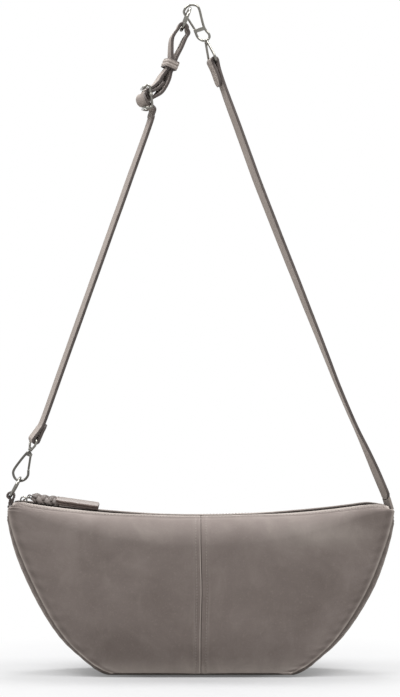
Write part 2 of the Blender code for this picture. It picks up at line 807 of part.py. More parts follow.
def clip(word, shares, length, width, place, eye_length, eye_yaw):
    """A wire clip: frame with its stem, gate, gate pin, and swivel eye with a barrel round the stem."""
    outline = [clip_point(share, length, width) for share in shares["frame"]]
    frame = as_mesh(wire(word + "_clip_frame", smooth_line(outline, 3), CLIP_WIRE, None, place))
    frame.data.materials.clear()
    frame.data.materials.append(metal())
    low = clip_point(shares["block"][0], length, width)
    high = clip_point(shares["block"][1], length, width)
    low.y, high.y = -BLOCK_HALF_DEPTH, BLOCK_HALF_DEPTH
    block = box(word + "_block", low, high, None, place)
    combine(frame, block, "UNION")
    foot = clip_point(shares["stem"], length, width)
    shank_length = STEM_LENGTH + STEM_HEAD / 2
    shank = cylinder(word + "_shank", STEM_RADIUS, shank_length, None, place @ Matrix.Translation(foot))
    head_place = place @ Matrix.Translation(foot + Vector((0, 0, STEM_LENGTH)))
    head = cylinder(word + "_head", STEM_HEAD_RADIUS, STEM_HEAD, None, head_place)
    combine(frame, shank, "UNION")
    combine(frame, head, "UNION")

    pivot = clip_point(shares["gate"][0], length, width)
    tip = clip_point(shares["gate"][1], length, width)
    flat = Matrix.Rotation(math.pi / 2, 4, "X")
    across = GATE_HALF_THICKNESS + GAP
    room = GATE_RADIUS + 2 * GAP
    slot_end = pivot.lerp(tip, SLOT_SHARE)
    slot_outline = capsule(Vector((pivot.x, pivot.z)), Vector((slot_end.x, slot_end.z)), room)
    slot = as_mesh(flat_plate(word + "_slot", [slot_outline], across, None, place @ flat))
    combine(frame, slot, "DIFFERENCE")
    bore_place = place @ Matrix.Translation(pivot) @ Matrix.Rotation(-math.pi / 2, 4, "X")
    bore_length = BLOCK_HALF_DEPTH * 4
    bore = cylinder(word + "_bore", PIN_RADIUS + PLAY, bore_length, None,
                    bore_place @ Matrix.Translation((0, 0, -bore_length / 2)))
    combine(frame, bore, "DIFFERENCE")
    axis_empty(word + "_swivel_axis", place @ Matrix.Translation(foot), [frame.name])

    reach = tip - pivot
    gate_outline = capsule(Vector((0, 0)), Vector((reach.x, reach.z)), GATE_RADIUS)
    hole = circle(PIN_RADIUS + PLAY, count=12, clockwise=True)
    gate_place = place @ Matrix.Translation(pivot) @ flat
    flat_plate(word + "_clip_gate", [gate_outline, hole], GATE_HALF_THICKNESS, metal(), gate_place)
    pin_length = BLOCK_HALF_DEPTH * 2
    cylinder(word + "_clip_pin", PIN_RADIUS, pin_length, metal(),
             bore_place @ Matrix.Translation((0, 0, -pin_length / 2)), 12)

    barrel_low = STEM_LENGTH - GAP - BARREL_LENGTH
    eye_place = place @ Matrix.Translation(foot) @ Matrix.Rotation(eye_yaw, 4, "Z")
    start = barrel_low + BARREL_LENGTH / 2
    reach = BARREL_RADIUS - EYE_WIRE / 2
    turn = EYE_WIRE * 2
    half = EYE_HALF_WIDTH
    side = [(0, reach, start), (0, reach + EYE_WIRE, start), (0, half - turn / 3, eye_length - turn * 2.6),
            (0, half, eye_length - turn * 1.9), (0, half, eye_length - turn * 0.7),
            (0, half - turn * 0.3, eye_length - turn * 0.2), (0, half - turn, eye_length)]
    route = side + [(x, -y, z) for x, y, z in side[::-1]]
    eye = as_mesh(wire(word + "_clip_eye", route, EYE_WIRE, None, eye_place))
    eye.data.materials.clear()
    eye.data.materials.append(metal())
    barrel = cylinder(word + "_barrel", BARREL_RADIUS, BARREL_LENGTH, None,
                      eye_place @ Matrix.Translation((0, 0, barrel_low)))
    combine(eye, barrel, "UNION")
    inner = cylinder(word + "_barrel_bore", STEM_RADIUS + PLAY, STEM_LENGTH, None,
                     eye_place @ Matrix.Translation((0, 0, barrel_low - STEM_LENGTH / 4)))
    combine(eye, inner, "DIFFERENCE")
    return eye_place @ Matrix.Translation((0, 0, eye_length))


def lower_clip_place():
    seat = clip_seat(LOWER_CLIP_SHARES, LOWER_CLIP_LENGTH, LOWER_CLIP_WIDTH)
    return clip_frame(LOWER_CLIP_TILT, seat, RING_TOP, Vector(LOWER_SEAT_SHARES))


CROWN = frame_at((CROWN_PLACE, 0, CROWN_HEIGHT), CROWN_TILT, CROWN_YAW)

# The crown's outlines as shares of the loop's height: (across, along) from the centre bar.
RAIL_SHARES = ((-0.116, -0.176), (-0.040, -0.190), (0, -0.150), (0, 0), (0, 0.110), (-0.030, 0.145),
               (-0.092, 0.122))
UNDER_SHARES = ((-0.046, -0.387), (-0.019, -0.300), (0.017, -0.216), (-0.010, -0.168))
BULGE_CENTRE_SHARES = (-0.101, -0.051)
BULGE_RADIUS_SHARE = 0.082
LOOP_UP_SHARES = ((-0.054, 0.080), (0.000, 0.099), (0.060, 0.128), (0.143, 0.193), (0.207, 0.272),
                  (0.306, 0.372), (0.3805, 0.501), (0.396, 0.610), (0.440, 0.815))
LOOP_DOWN_SHARES = ((0.690, 0.855), (0.632, 0.786), (0.548, 0.653), (0.455, 0.524), (0.396, 0.425),
                    (0.329, 0.315), (0.277, 0.199), (0.202, 0.089), (0.125, 0.010))
TAIL_SHARES = ((0.060, 0.070), (0.122, 0.098), (0.185, 0.163), (0.207, 0.197))
KEEPER_SHARES = (0.366, 0.425)
KEEPER_LEAN = math.radians(30)
RING_SEAT_SHARES = (0.598, 0.915)
RING_LEAN = STRAP_RING_TILT - CROWN_TILT


def crown_point(shares):
    return Vector((shares[0] * CROWN_LOOP, 0, shares[1] * CROWN_LOOP))


def arc(centre, radius, start, end, steps):
    points = []
    for i in range(steps + 1):
        angle = math.radians(start + (end - start) * i / steps)
        points.append(centre + Vector((radius * math.cos(angle), 0, radius * math.sin(angle))))
    return points


def loop_top():
    """Over the ring's foot, clear of the ring where it rises at the strap's edges."""
    sag = STRAP_RING_RADIUS - math.sqrt(STRAP_RING_RADIUS ** 2 - STRAP_WIDTH ** 2 / 4)
    near = RING_WIRE + STRAP_THICKNESS / 2 + 3 * STRAP_PLAY
    turned = Matrix.Translation(crown_point(RING_SEAT_SHARES)) @ Matrix.Rotation(RING_LEAN, 4, "Y")
    points = [turned @ Vector((-near, 0, 0))]
    for angle in (-90, -60, -30, 0, 30, 60, 90):
        reach = near * (1 + 0.25 * max(0, math.sin(math.radians(angle))))
        turn = math.radians(angle)
        points.append(turned @ Vector((reach * math.sin(turn), 0, sag + near * math.cos(turn))))
    return points


def crown_route():
    """The strap's middle line from under the buckle to its sewn tail, in the crown's frame."""
    start = [crown_point(s) for s in UNDER_SHARES]
    bulge = arc(crown_point(BULGE_CENTRE_SHARES), BULGE_RADIUS_SHARE * CROWN_LOOP, -75, -270, 8)
    up = [crown_point(s) for s in LOOP_UP_SHARES]
    top = loop_top()
    down = [crown_point(s) for s in LOOP_DOWN_SHARES]
    wrap_radius = BUCKLE_WIRE + 2 * STRAP_PLAY + STRAP_THICKNESS / 2
    wrap = arc(Vector((0, 0, 0)), wrap_radius, -60, -285, 9)
    tail = [crown_point(s) for s in TAIL_SHARES]
    return smooth_line(start + bulge + up + top + down + wrap + tail, 2)


def fold_route(flap, side):
    """A strap end folded round a bar at the origin: from the flap's end to where the strap leaves."""
    wrap = EYE_WIRE + STRAP_PLAY + STRAP_THICKNESS / 2
    close = (STRAP_THICKNESS + STRAP_PLAY) / 2
    right = [(close * 1.2, wrap * 2.6), (close, flap * 0.55), (close, flap)]
    left = [(-x, z) for x, z in right[::-1]]
    round_bar = [(p.x, p.z) for p in arc(Vector((0, 0, 0)), wrap, 165, 375, 9)]
    return [Vector((x * side, 0, z)) for x, z in left + round_bar + right]


def width_direction(along, yaw):
    """The strap's width direction for a strap that runs along the given direction in the bag's plane."""
    across = Vector((along.z, 0, -along.x)).normalized()
    return across * math.sin(yaw) - Vector((0, 1, 0)) * math.cos(yaw)


def strap_left(bar_place):
    fold = [bar_place @ p for p in fold_route(LOWER_FLAP, 1)]
    fold_side = -(bar_place.to_3x3() @ Vector((0, 1, 0)))
    crown = [CROWN @ p for p in crown_route()]
    crown_side = -(CROWN.to_3x3() @ Vector((0, 1, 0)))
    start, end = fold[-1], crown[0]
    along = end - start
    count = 8
    half = STRAP_WIDTH / 2
    main_side = width_direction(along, MAIN_YAW)
    stations = [(p, fold_side, half) for p in fold]
    for i in range(1, count):
        share = i / count
        near = fold_side if share < 0.5 else crown_side
        ease = min(1, 4 * min(share, 1 - share))
        stations.append((start + along * share, near.lerp(main_side, ease), half))
    stations += [(p, crown_side, half) for p in crown]
    ribbon("strap_left", stations, leather())


def buckle():
    """A bowed frame with three bars. The strap's tail is sewn round the middle one."""
    half = BUCKLE_HALF_WIDTH
    rail = smooth_line([crown_point(s) for s in RAIL_SHARES], 2)
    near = [(p.x, -half, p.z) for p in rail]
    far = [(p.x, half, p.z) for p in rail]
    frame = as_mesh(wire("buckle_frame", near + far[::-1], BUCKLE_WIRE, None, CROWN, cyclic=True))
    frame.data.materials.clear()
    frame.data.materials.append(metal())
    bar_half = half + BUCKLE_WIRE * 1.3
    bar_place = CROWN @ Matrix.Rotation(-math.pi / 2, 4, "X") @ Matrix.Translation((0, 0, -bar_half))
    bar = cylinder("buckle_bar", BUCKLE_WIRE, bar_half * 2, None, bar_place, 12)
    combine(frame, bar, "UNION")


def keeper():
    inner_across = STRAP_THICKNESS + STRAP_PLAY * 3
    inner_half = STRAP_WIDTH / 2 + STRAP_PLAY
    turned = Matrix.Rotation(KEEPER_LEAN, 4, "Y")
    place = CROWN @ Matrix.Translation(crown_point(KEEPER_SHARES)) @ turned
    outlines = []
    for grow, turn in ((KEEPER_WALL, 1), (0, -1)):
        x, y = inner_across + grow, inner_half + grow
        radius = grow if grow else STRAP_PLAY
        loop = []
        for cx, cy, start in ((x, y, 0), (-x, y, 90), (-x, -y, 180), (x, -y, 270)):
            centre = (cx - math.copysign(radius, cx), cy - math.copysign(radius, cy))
            for i in range(4):
                angle = math.radians(start + 30 * i)
                loop.append((centre[0] + radius * math.cos(angle), centre[1] + radius * math.sin(angle)))
        outlines.append(loop[::turn])
    flat_plate("strap_keeper", outlines, KEEPER_LENGTH / 2, leather(), place)


def strap_ring_place():
    """The ring's foot lies under the top of the strap's loop."""
    foot = Matrix.Translation(crown_point(RING_SEAT_SHARES)) @ Matrix.Rotation(RING_LEAN, 4, "Y")
    return CROWN @ foot


def upper_clip_place():
    seat = clip_seat(UPPER_CLIP_SHARES, UPPER_CLIP_LENGTH, UPPER_CLIP_WIDTH)
    top = strap_ring_place() @ Vector((0, 0, 2 * STRAP_RING_RADIUS))
    return clip_frame(UPPER_CLIP_TILT, seat, top, Vector(UPPER_SEAT_SHARES))


SWING_HEIGHT = CAP_TOP + GAP + ANCHOR_HEIGHT + SWING_PLAY + STRAP_WIDTH / 2
STRAP_ROOT = Vector((ANCHOR_PLACE, 0, SWING_HEIGHT))
# Right strap between its fold and its foot: share of the way, bow to the left, share of the foot's yaw.
RIGHT_RUN_SHARES = ((0.05, 0.0016, 0.9), (0.107, 0.0032, 0.95), (0.18, 0.0055, 0.95), (0.254, 0.0073, 0.95),
                    (0.37, 0.0081, 0.9), (0.5, 0.0082, 0.8), (0.62, 0.0084, 0.6), (0.72, 0.0088, 0.4),
                    (0.79, 0.0078, 0.33), (0.846, 0.0055, 0.33), (0.9, 0.0026, 0.7), (0.95, 0.0011, 1))
FOOT_SHARES = (0, 0.35, 0.62, 0.82, 0.94)


def strap_right(bar_place):
    """The lower end is a half disc round the swing axis."""
    fold = [bar_place @ p for p in fold_route(UPPER_FLAP, -1)]
    fold_side = -(bar_place.to_3x3() @ Vector((0, 1, 0)))
    start = fold[-1]
    along = STRAP_ROOT - start
    left = Vector((along.z, 0, -along.x)).normalized()
    half = STRAP_WIDTH / 2
    stations = [(p, fold_side, half) for p in fold]
    for share, bow, turn in RIGHT_RUN_SHARES:
        place = start + along * share + left * (bow * along.length)
        stations.append((place, width_direction(-along, ROOT_YAW * turn), half))
    down = Vector((math.sin(FOOT_TILT), 0, -math.cos(FOOT_TILT)))
    foot_side = width_direction(-down, ROOT_YAW)
    for share in FOOT_SHARES:
        place = STRAP_ROOT + down * (half * share)
        stations.append((place, foot_side, half * math.sqrt(1 - share ** 2)))
    ribbon("strap_right", stations, leather())


def strap_anchor():
    half = STRAP_WIDTH / 2
    low = CAP_TOP + GAP
    side = width_direction(Vector((0, 0, 1)), ROOT_YAW)
    yaw = math.atan2(side.y, side.x)
    turned = Matrix.Translation((ANCHOR_PLACE, 0, low)) @ Matrix.Rotation(yaw, 4, "Z")
    item = box("strap_anchor", (-half, -STRAP_THICKNESS / 2, 0), (half, STRAP_THICKNESS / 2, ANCHOR_HEIGHT),
               leather(), turned)
    soften(item, LEATHER / 5)


def build():
    panel("front_panel_left", -1, 0, -1)
    panel("front_panel_right", 0, 1, -1)
    panel("back_panel", -1, 1, 1)
    gusset()
    lining()
    inner_pocket()
    end_cap("end_cap_left", -1)
    end_cap("end_cap_right", 1)
    zip_half(-1, "front")
    zip_half(1, "back")
    zip_slider()
    zip_puller()
    leather_pull()
    ring_tab()
    ring("bag_ring", RING_RADIUS, Matrix.Translation(RING_FOOT) @ Matrix.Rotation(RING_TILT, 4, "Y"))
    lower_bar = clip("lower", LOWER_CLIP_SHARES, LOWER_CLIP_LENGTH, LOWER_CLIP_WIDTH, lower_clip_place(),
                     LOWER_EYE_LENGTH, LOWER_YAW)
    strap_left(lower_bar)
    buckle()
    keeper()
    ring("strap_ring", STRAP_RING_RADIUS, strap_ring_place())
    upper_bar = clip("upper", UPPER_CLIP_SHARES, UPPER_CLIP_LENGTH, UPPER_CLIP_WIDTH, upper_clip_place(),
                     UPPER_EYE_LENGTH, -UPPER_YAW)
    strap_right(upper_bar)
    strap_anchor()
    axis_empty("zip_run_axis", Matrix.Translation((0, 0, MID_HEIGHT + ZIP_ARC_RADIUS)), ["zip_slider"])
    axis_empty("strap_swing_axis", Matrix.Translation(STRAP_ROOT),
               ["strap_left", "strap_right", "buckle_frame", "lower_clip_eye", "upper_clip_eye"])


build()
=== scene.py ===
import bpy
import bmesh
import math
import numpy as np
from mathutils import Matrix, Vector, noise


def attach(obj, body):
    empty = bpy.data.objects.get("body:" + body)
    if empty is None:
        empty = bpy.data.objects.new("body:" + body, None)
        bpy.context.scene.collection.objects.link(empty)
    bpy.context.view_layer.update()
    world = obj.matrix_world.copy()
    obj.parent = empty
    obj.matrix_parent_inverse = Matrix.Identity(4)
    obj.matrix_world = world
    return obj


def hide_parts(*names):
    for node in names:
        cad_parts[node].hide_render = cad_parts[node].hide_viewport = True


# Half-moon shoulder bag, seen from the front at floor level. Metres, +Z up, the front faces -Y.
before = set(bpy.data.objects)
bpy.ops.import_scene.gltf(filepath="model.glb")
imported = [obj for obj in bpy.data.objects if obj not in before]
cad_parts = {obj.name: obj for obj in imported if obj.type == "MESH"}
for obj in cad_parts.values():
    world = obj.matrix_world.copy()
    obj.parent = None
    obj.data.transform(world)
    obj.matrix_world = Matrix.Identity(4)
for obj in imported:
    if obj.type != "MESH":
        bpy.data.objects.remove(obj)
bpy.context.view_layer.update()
scene = bpy.context.scene
mm = 0.001
print("frame loaded:", len(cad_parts), "nodes")


def lengths(**sizes):
    # sizes written in millimetres
    return {name: tuple(part * mm for part in size) if isinstance(size, tuple) else size * mm
            for name, size in sizes.items()}


# Camera. The photo is 400 by 697 and a pixel is about a millimetre at the bag.
photo = dict(across=0.0015, height=0.3235, distance=2.4, tall=0.697)


def makeCamera():
    lensData = bpy.data.cameras.new("photoCamera")
    lensData.lens = lensData.sensor_width * photo["distance"] / photo["tall"]
    lensData.clip_end = 60
    camera = bpy.data.objects.new("photoCamera", lensData)
    camera.location = (photo["across"], -photo["distance"], photo["height"])
    camera.rotation_euler = (math.pi / 2, 0, 0)
    scene.collection.objects.link(camera)
    scene.camera = camera
    scene.view_settings.view_transform = "Standard"


makeCamera()


# Numbers and lines.

def smoothStep(low, high, value):
    share = np.clip((value - low) / (high - low), 0, 1)
    return share * share * (3 - 2 * share)


def hump(value, middle, width):
    return np.exp(-((value - middle) / width) ** 2)


def unit(rows):
    return rows / np.maximum(np.linalg.norm(rows, axis=-1, keepdims=True), 1e-12)


def smoothLine(points, spacing, least=3):
    # a soft curve through the points, with more steps where they lie far apart
    points = np.array([tuple(point) for point in points], float)
    ends = np.vstack([2 * points[0] - points[1], points, 2 * points[-1] - points[-2]])
    line = []
    for a, b, c, d in zip(ends, ends[1:], ends[2:], ends[3:]):
        steps = max(least, math.ceil(np.linalg.norm((c - b)[:3]) / spacing))
        for i in range(steps):
            t = i / steps
            bend = 2 * b + (c - a) * t + (2 * a - 5 * b + 4 * c - d) * t ** 2 + (3 * b - a - 3 * c + d) * t ** 3
            line.append(bend / 2)
    line.append(points[-1])
    return np.array(line)


def lengthsAlong(line):
    steps = np.linalg.norm(np.diff(line[:, :3], axis=0), axis=1)
    return np.concatenate([[0], np.cumsum(steps)])


def shift(x, y, z):
    return Matrix.Translation((x, y, z))


def spin(degrees, axis):
    return Matrix.Rotation(math.radians(degrees), 4, axis)


def facing(place, *way):
    return place.to_3x3() @ Vector(way)


def placed(place, points):
    return [place @ Vector(tuple(point)) for point in points]


def arc(radius, start, end, steps):
    # points on part of a circle, from one angle to the other in degrees
    angles = np.radians(np.linspace(start, end, steps + 1))
    return [(radius * math.cos(angle), radius * math.sin(angle)) for angle in angles]


def circle(sides):
    angles = [2 * math.pi * i / sides for i in range(sides)]
    return [(math.cos(angle), math.sin(angle)) for angle in angles]


def noiseField(grid, size, seed):
    places = [Vector((x / size + seed, y / size - seed, z / size)) for x, y, z in grid.reshape(-1, 3)]
    return np.array([noise.noise(place) for place in places]).reshape(grid.shape[:-1])


# A pile gathers closed bodies and turns them into one piece.

class Pile:
    def __init__(self):
        self.points = []
        self.faces = []
        self.slots = []
        self.wearAndPaintedLight = []

    def add(self, points, faces, slots=0, wearAndPaintedLight=0.0):
        start = len(self.points)
        self.points.extend(tuple(float(value) for value in point) for point in points)
        self.faces.extend(tuple(start + corner for corner in face) for face in faces)
        self.slots.extend([slots] * len(faces) if isinstance(slots, int) else slots)
        self.wearAndPaintedLight.extend([wearAndPaintedLight] * len(points) if isinstance(wearAndPaintedLight, float) else list(wearAndPaintedLight))

    def piece(self, name, finishes, body, slot, replaces, place=None):
        mesh = bpy.data.meshes.new(name)
        points = [place(x, y, z) for x, y, z in self.points] if place else self.points
        mesh.from_pydata(points, [], self.faces)
        for finish in finishes:
            mesh.materials.append(finish)
        mesh.polygons.foreach_set("material_index", self.slots)
        # this attribute holds rub and wear, and also painted highlight where it is above 0 and painted shade where it
        # is below 0
        mesh.attributes.new("wearAndPaintedLight", "FLOAT", "POINT").data.foreach_set("value", self.wearAndPaintedLight)
        made = bmesh.new()
        made.from_mesh(mesh)
        bmesh.ops.recalc_face_normals(made, faces=made.faces[:])
        made.to_mesh(mesh)
        made.free()
        mesh.shade_smooth()
        mesh.set_sharp_from_angle(angle=math.radians(50))
        made = bpy.data.objects.new(name, mesh)
        scene.collection.objects.link(made)
        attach(made, body)
        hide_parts(*replaces)


def gridFrame(grid, loop=False):
    if loop:
        along = np.roll(grid, -1, 0) - np.roll(grid, 1, 0)
    else:
        along = np.gradient(grid, axis=0)
    across = np.gradient(grid, axis=1)
    return unit(np.cross(across, along)), unit(along), unit(across)


def gridNormal(grid, loop=False):
    return gridFrame(grid, loop)[0]


def addShell(pile, grid, thickness, share=1.0, loop=False, flip=False, slots=(0, 0, 0), wearAndPaintedLight=None,
             edgeWearAndPaintedLight=0.0, steps=6, bulge=1.0, layered=False):
    # leather or cloth of a given thickness with a rounded edge all round; slots are face, edge and back
    # bulge is how far the edge swells, for the first row, last row, first column and last column
    bulge = (bulge,) * 4 if isinstance(bulge, float) else bulge
    rows, cols = grid.shape[:2]
    normal, along, across = gridFrame(grid, loop)
    if flip:
        normal = -normal
    outer = grid + normal * thickness * (1 - share)
    inner = outer - normal * thickness
    number = np.arange(rows * cols).reshape(rows, cols)
    faces = []
    slotRow = []
    lastRow = rows if loop else rows - 1
    for r in range(lastRow):
        low, high = number[r], number[(r + 1) % rows]
        for c in range(cols - 1):
            faces.append((low[c], low[c + 1], high[c + 1], high[c]))
    slotRow += [slots[0]] * len(faces)
    backs = [tuple(corner + rows * cols for corner in face[::-1]) for face in faces]
    slotRow += [slots[2]] * len(backs)
    faces += backs
    if loop:
        borders = [[(r, cols - 1) for r in range(rows)], [(r, 0) for r in range(rows - 1, -1, -1)]]
    else:
        border = [(0, c) for c in range(cols)] + [(r, cols - 1) for r in range(1, rows)]
        border += [(rows - 1, c) for c in range(cols - 2, -1, -1)] + [(r, 0) for r in range(rows - 2, 0, -1)]
        borders = [border]
    points = [outer.reshape(-1, 3), inner.reshape(-1, 3)]
    if wearAndPaintedLight is None:
        wearAndPaintedLight = np.zeros((rows, cols))
    wearAndLightRow = list(wearAndPaintedLight.reshape(-1)) * 2
    count = 2 * rows * cols
    for border in borders:
        out = []
        swell = []
        for r, c in border:
            sides = [(not loop and r == 0, -along[r, c]), (not loop and r == rows - 1, along[r, c]),
                     (c == 0, -across[r, c]), (c == cols - 1, across[r, c])]
            out.append(sum(way for touches, way in sides if touches))
            swell.append([min(size for (touches, _), size in zip(sides, bulge) if touches)])
        out = unit(np.array(out))
        swell = np.array(swell)
        rs, cs = np.array(border).T
        middle = (outer[rs, cs] + inner[rs, cs]) / 2
        rings = [number[rs, cs]]
        for k in range(1, steps):
            angle = math.pi * k / steps
            reach = math.sin(angle) - (0.4 if layered and 2 * k == steps else 0)
            ring = middle + normal[rs, cs] * (thickness / 2 * math.cos(angle))
            ring = ring + out * swell * (thickness / 2 * reach)
            points.append(ring)
            rings.append(np.arange(count, count + len(border)))
            count += len(border)
            wearAndLightRow += [edgeWearAndPaintedLight] * len(border)
        rings.append(number[rs, cs] + rows * cols)
        for low, high in zip(rings, rings[1:]):
            for i in range(len(border)):
                j = (i + 1) % len(border)
                faces.append((low[j], low[i], high[i], high[j]))
                slotRow.append(slots[1])
    pile.add(np.vstack(points), faces, slotRow, wearAndLightRow)
    return outer, normal


def ringFaces(count, sides, loop=False):
    # quads between rings of points, with flat ends unless the last ring meets the first
    faces = []
    for r in range(count if loop else count - 1):
        low, top = r * sides, (r + 1) % count * sides
        for i in range(sides):
            j = (i + 1) % sides
            faces.append((low + i, low + j, top + j, top + i))
    if not loop:
        faces.append(tuple(range(sides))[::-1])
        faces.append(tuple(range((count - 1) * sides, count * sides)))
    return faces


def addBar(pile, path, wide, high=None, sides=18, closed=False, up=None, slot=0, roundEnds=True, wearAndPaintedLight=0.0):
    # a round or oval bar along a path
    path = np.array([tuple(point) for point in path], float)
    high = wide if high is None else high
    sizes = np.ones(len(path))
    if roundEnds and not closed:
        first = unit(path[0] - path[1])
        last = unit(path[-1] - path[-2])
        angles = np.radians([78, 60, 38, 18])
        head = [path[0] + first * min(wide, high) * math.sin(a) for a in angles]
        tail = [path[-1] + last * min(wide, high) * math.sin(a) for a in angles[::-1]]
        path = np.vstack([head, path, tail])
        caps = np.cos(angles)
        sizes = np.concatenate([caps, sizes, caps[::-1]])
    if closed:
        tangent = unit(np.roll(path, -1, 0) - np.roll(path, 1, 0))
    else:
        tangent = unit(np.gradient(path, axis=0))
    if up is None:
        start = np.array([0.0, 1.0, 0.0]) if abs(tangent[0][1]) < 0.9 else np.array([0.0, 0.0, 1.0])
    else:
        start = np.array(tuple(up), float)
    rings = []
    current = start
    for place, way, size in zip(path, tangent, sizes):
        if up is not None:
            current = start
        current = unit(current - way * current.dot(way))
        other = np.cross(way, current)
        rings += [place + current * (wide * size * a) + other * (high * size * b) for a, b in circle(sides)]
    pile.add(rings, ringFaces(len(path), sides, closed), slot, wearAndPaintedLight)


def addTurned(pile, profile, matrix, sides=28, ring=False):
    # a turned shape about local Z from (radius, height) pairs; a ring's profile closes on itself
    points = [(radius * a, radius * b, height) for radius, height in profile for a, b in circle(sides)]
    pile.add(placed(matrix, points), ringFaces(len(profile), sides, ring))


def takeFrom(pile, made, edges, soft, segments, matrix, wearAndPaintedLight=0.0):
    # rounds the edges of a plain body and puts it into the pile
    bmesh.ops.bevel(made, geom=edges, offset=soft, segments=segments, profile=0.5, affect="EDGES")
    made.verts.index_update()
    points = [matrix @ vert.co for vert in made.verts]
    faces = [tuple(vert.index for vert in face.verts) for face in made.faces]
    made.free()
    pile.add(points, faces, 0, wearAndPaintedLight)


def addBlock(pile, low, high, matrix, soft, segments=3):
    made = bmesh.new()
    bmesh.ops.create_cube(made, size=1)
    low, high = Vector(low), Vector(high)
    for vert in made.verts:
        vert.co = Vector([(low[i] + high[i]) / 2 + vert.co[i] * (high[i] - low[i]) for i in range(3)])
    takeFrom(pile, made, made.edges[:], soft, segments, matrix)


def addSlab(pile, outline, low, high, matrix, soft, segments=2, wearAndPaintedLight=0.0):
    # a flat outline in local XY from one height to another, with soft rims
    made = bmesh.new()
    face = made.faces.new([made.verts.new((x, y, low)) for x, y in outline])
    grown = bmesh.ops.extrude_face_region(made, geom=[face])
    for item in grown["geom"]:
        if isinstance(item, bmesh.types.BMVert):
            item.co.z = high
    rims = [edge for edge in made.edges if abs(edge.verts[0].co.z - edge.verts[1].co.z) < 1e-9]
    takeFrom(pile, made, rims, soft, segments, matrix, wearAndPaintedLight)


stitchLook = dict(places=(0.0, 0.1, 0.3, 0.7, 0.9, 1.0), rises=(-0.9, 0.1, 0.55, 0.55, 0.1, -0.9),
    sizes=(0.5, 0.9, 1.0, 1.0, 0.9, 0.5), sides=6)
# length, gap and thread radius in millimetres
stitchSizes = dict(panel=(2.5, 0.7, 0.26), centreSeam=(2.3, 0.7, 0.26), pocket=(2, 0.7, 0.18),
    tape=(1.5, 0.4, 0.16), cap=(1.8, 0.7, 0.2), pull=(2, 0.7, 0.2), tab=(1.7, 0.7, 0.18), strap=(2.2, 0.6, 0.24),
    anchor=(2, 0.7, 0.22))


def addStitches(pile, line, normals, kind, slot, skipEnds=0.0):
    # sewn thread along a line on leather: each bead dips into its needle holes
    length, gap, thick = [size * mm for size in stitchSizes[kind]]
    line, normals = np.array(line, float), np.array(normals, float)
    reach = lengthsAlong(line)
    total = reach[-1] - 2 * skipEnds
    count = max(1, int((total + gap) // (length + gap)))
    pitch = total / count

    def along(rows, place):
        return np.array([np.interp(place, reach, rows[:, i]) for i in range(3)])

    for k in range(count):
        start, stop = skipEnds + k * pitch + gap / 2, skipEnds + (k + 1) * pitch - gap / 2
        a, b = along(line, start), along(line, stop)
        up = unit(along(normals, (start + stop) / 2))
        side = unit(np.cross(b - a, up))
        points = []
        for place, rise, size in zip(stitchLook["places"], stitchLook["rises"], stitchLook["sizes"]):
            middle = a + (b - a) * place + up * rise * thick
            points += [middle + (side * c + up * s) * thick * size for c, s in circle(stitchLook["sides"])]
        pile.add(points, ringFaces(len(stitchLook["places"]), stitchLook["sides"]), slot)


# Materials.

def paint(red, green, blue):
    # a colour as a screen shows it, 0 to 255
    values = []
    for level in (red, green, blue):
        level = level / 255
        values.append(level / 12.92 if level <= 0.04045 else ((level + 0.055) / 1.055) ** 2.4)
    return (*values, 1.0)


class Finish:
    def __init__(self, name):
        self.material = bpy.data.materials.new(name)
        self.material.use_nodes = True
        self.tree = self.material.node_tree
        self.shader = self.tree.nodes["Principled BSDF"]
        self.place = self.node("ShaderNodeTexCoord").outputs["Object"]

    def node(self, kind, inputs=None, **settings):
        made = self.tree.nodes.new(kind)
        for key, value in settings.items():
            setattr(made, key, value)
        for key, value in (inputs or {}).items():
            self.feed(made, key, value)
        return made

    def feed(self, made, key, value):
        if isinstance(value, bpy.types.NodeSocket):
            self.tree.links.new(value, made.inputs[key])
        else:
            made.inputs[key].default_value = value

    def noise(self, scale, detail=3.0, rough=0.55, twist=0.0, place=None):
        inputs = {"Vector": place or self.place, "Scale": scale, "Detail": detail, "Roughness": rough,
                  "Distortion": twist}
        return self.node("ShaderNodeTexNoise", inputs).outputs["Fac"]

    def cells(self, scale, place=None):
        inputs = {"Vector": place or self.place, "Scale": scale}
        return self.node("ShaderNodeTexVoronoi", inputs, feature="SMOOTH_F1").outputs["Distance"]

    def wave(self, scale, place, direction, twist):
        inputs = {"Vector": place, "Scale": scale, "Distortion": twist, "Detail": 1.0}
        return self.node("ShaderNodeTexWave", inputs, bands_direction=direction).outputs["Fac"]

    def stretched(self, x, y, z, turn=(0, 0, 0)):
        inputs = {"Vector": self.place, "Scale": (x, y, z), "Rotation": turn}
        return self.node("ShaderNodeMapping", inputs).outputs["Vector"]

    def span(self, value, low, high, toLow=0.0, toHigh=1.0):
        inputs = {"Value": value, "From Min": low, "From Max": high, "To Min": toLow, "To Max": toHigh}
        return self.node("ShaderNodeMapRange", inputs).outputs["Result"]

    def sum(self, kind, first, second):
        return self.node("ShaderNodeMath", {0: first, 1: second}, operation=kind).outputs[0]

    def mix(self, share, first, second):
        return self.node("ShaderNodeMix", {0: share, 6: first, 7: second}, data_type="RGBA").outputs[2]

    def tint(self, colour, target, value, low, high, most=1.0):
        # the target colour over another, rising with the value
        return self.mix(self.span(value, low, high, 0, most), colour, paint(*target))

    def attribute(self, name):
        return self.node("ShaderNodeAttribute", attribute_name=name).outputs["Fac"]

    def bump(self, height, strength, distance, under=None):
        inputs = {"Height": height, "Strength": strength, "Distance": distance}
        if under is not None:
            inputs["Normal"] = under
        return self.node("ShaderNodeBump", inputs).outputs["Normal"]

    def done(self, colour, rough, normal=None, **values):
        self.feed(self.shader, "Base Color", colour)
        self.feed(self.shader, "Roughness", rough)
        if normal is not None:
            self.feed(self.shader, "Normal", normal)
        for key, value in values.items():
            self.shader.inputs[key].default_value = value
        return self.material


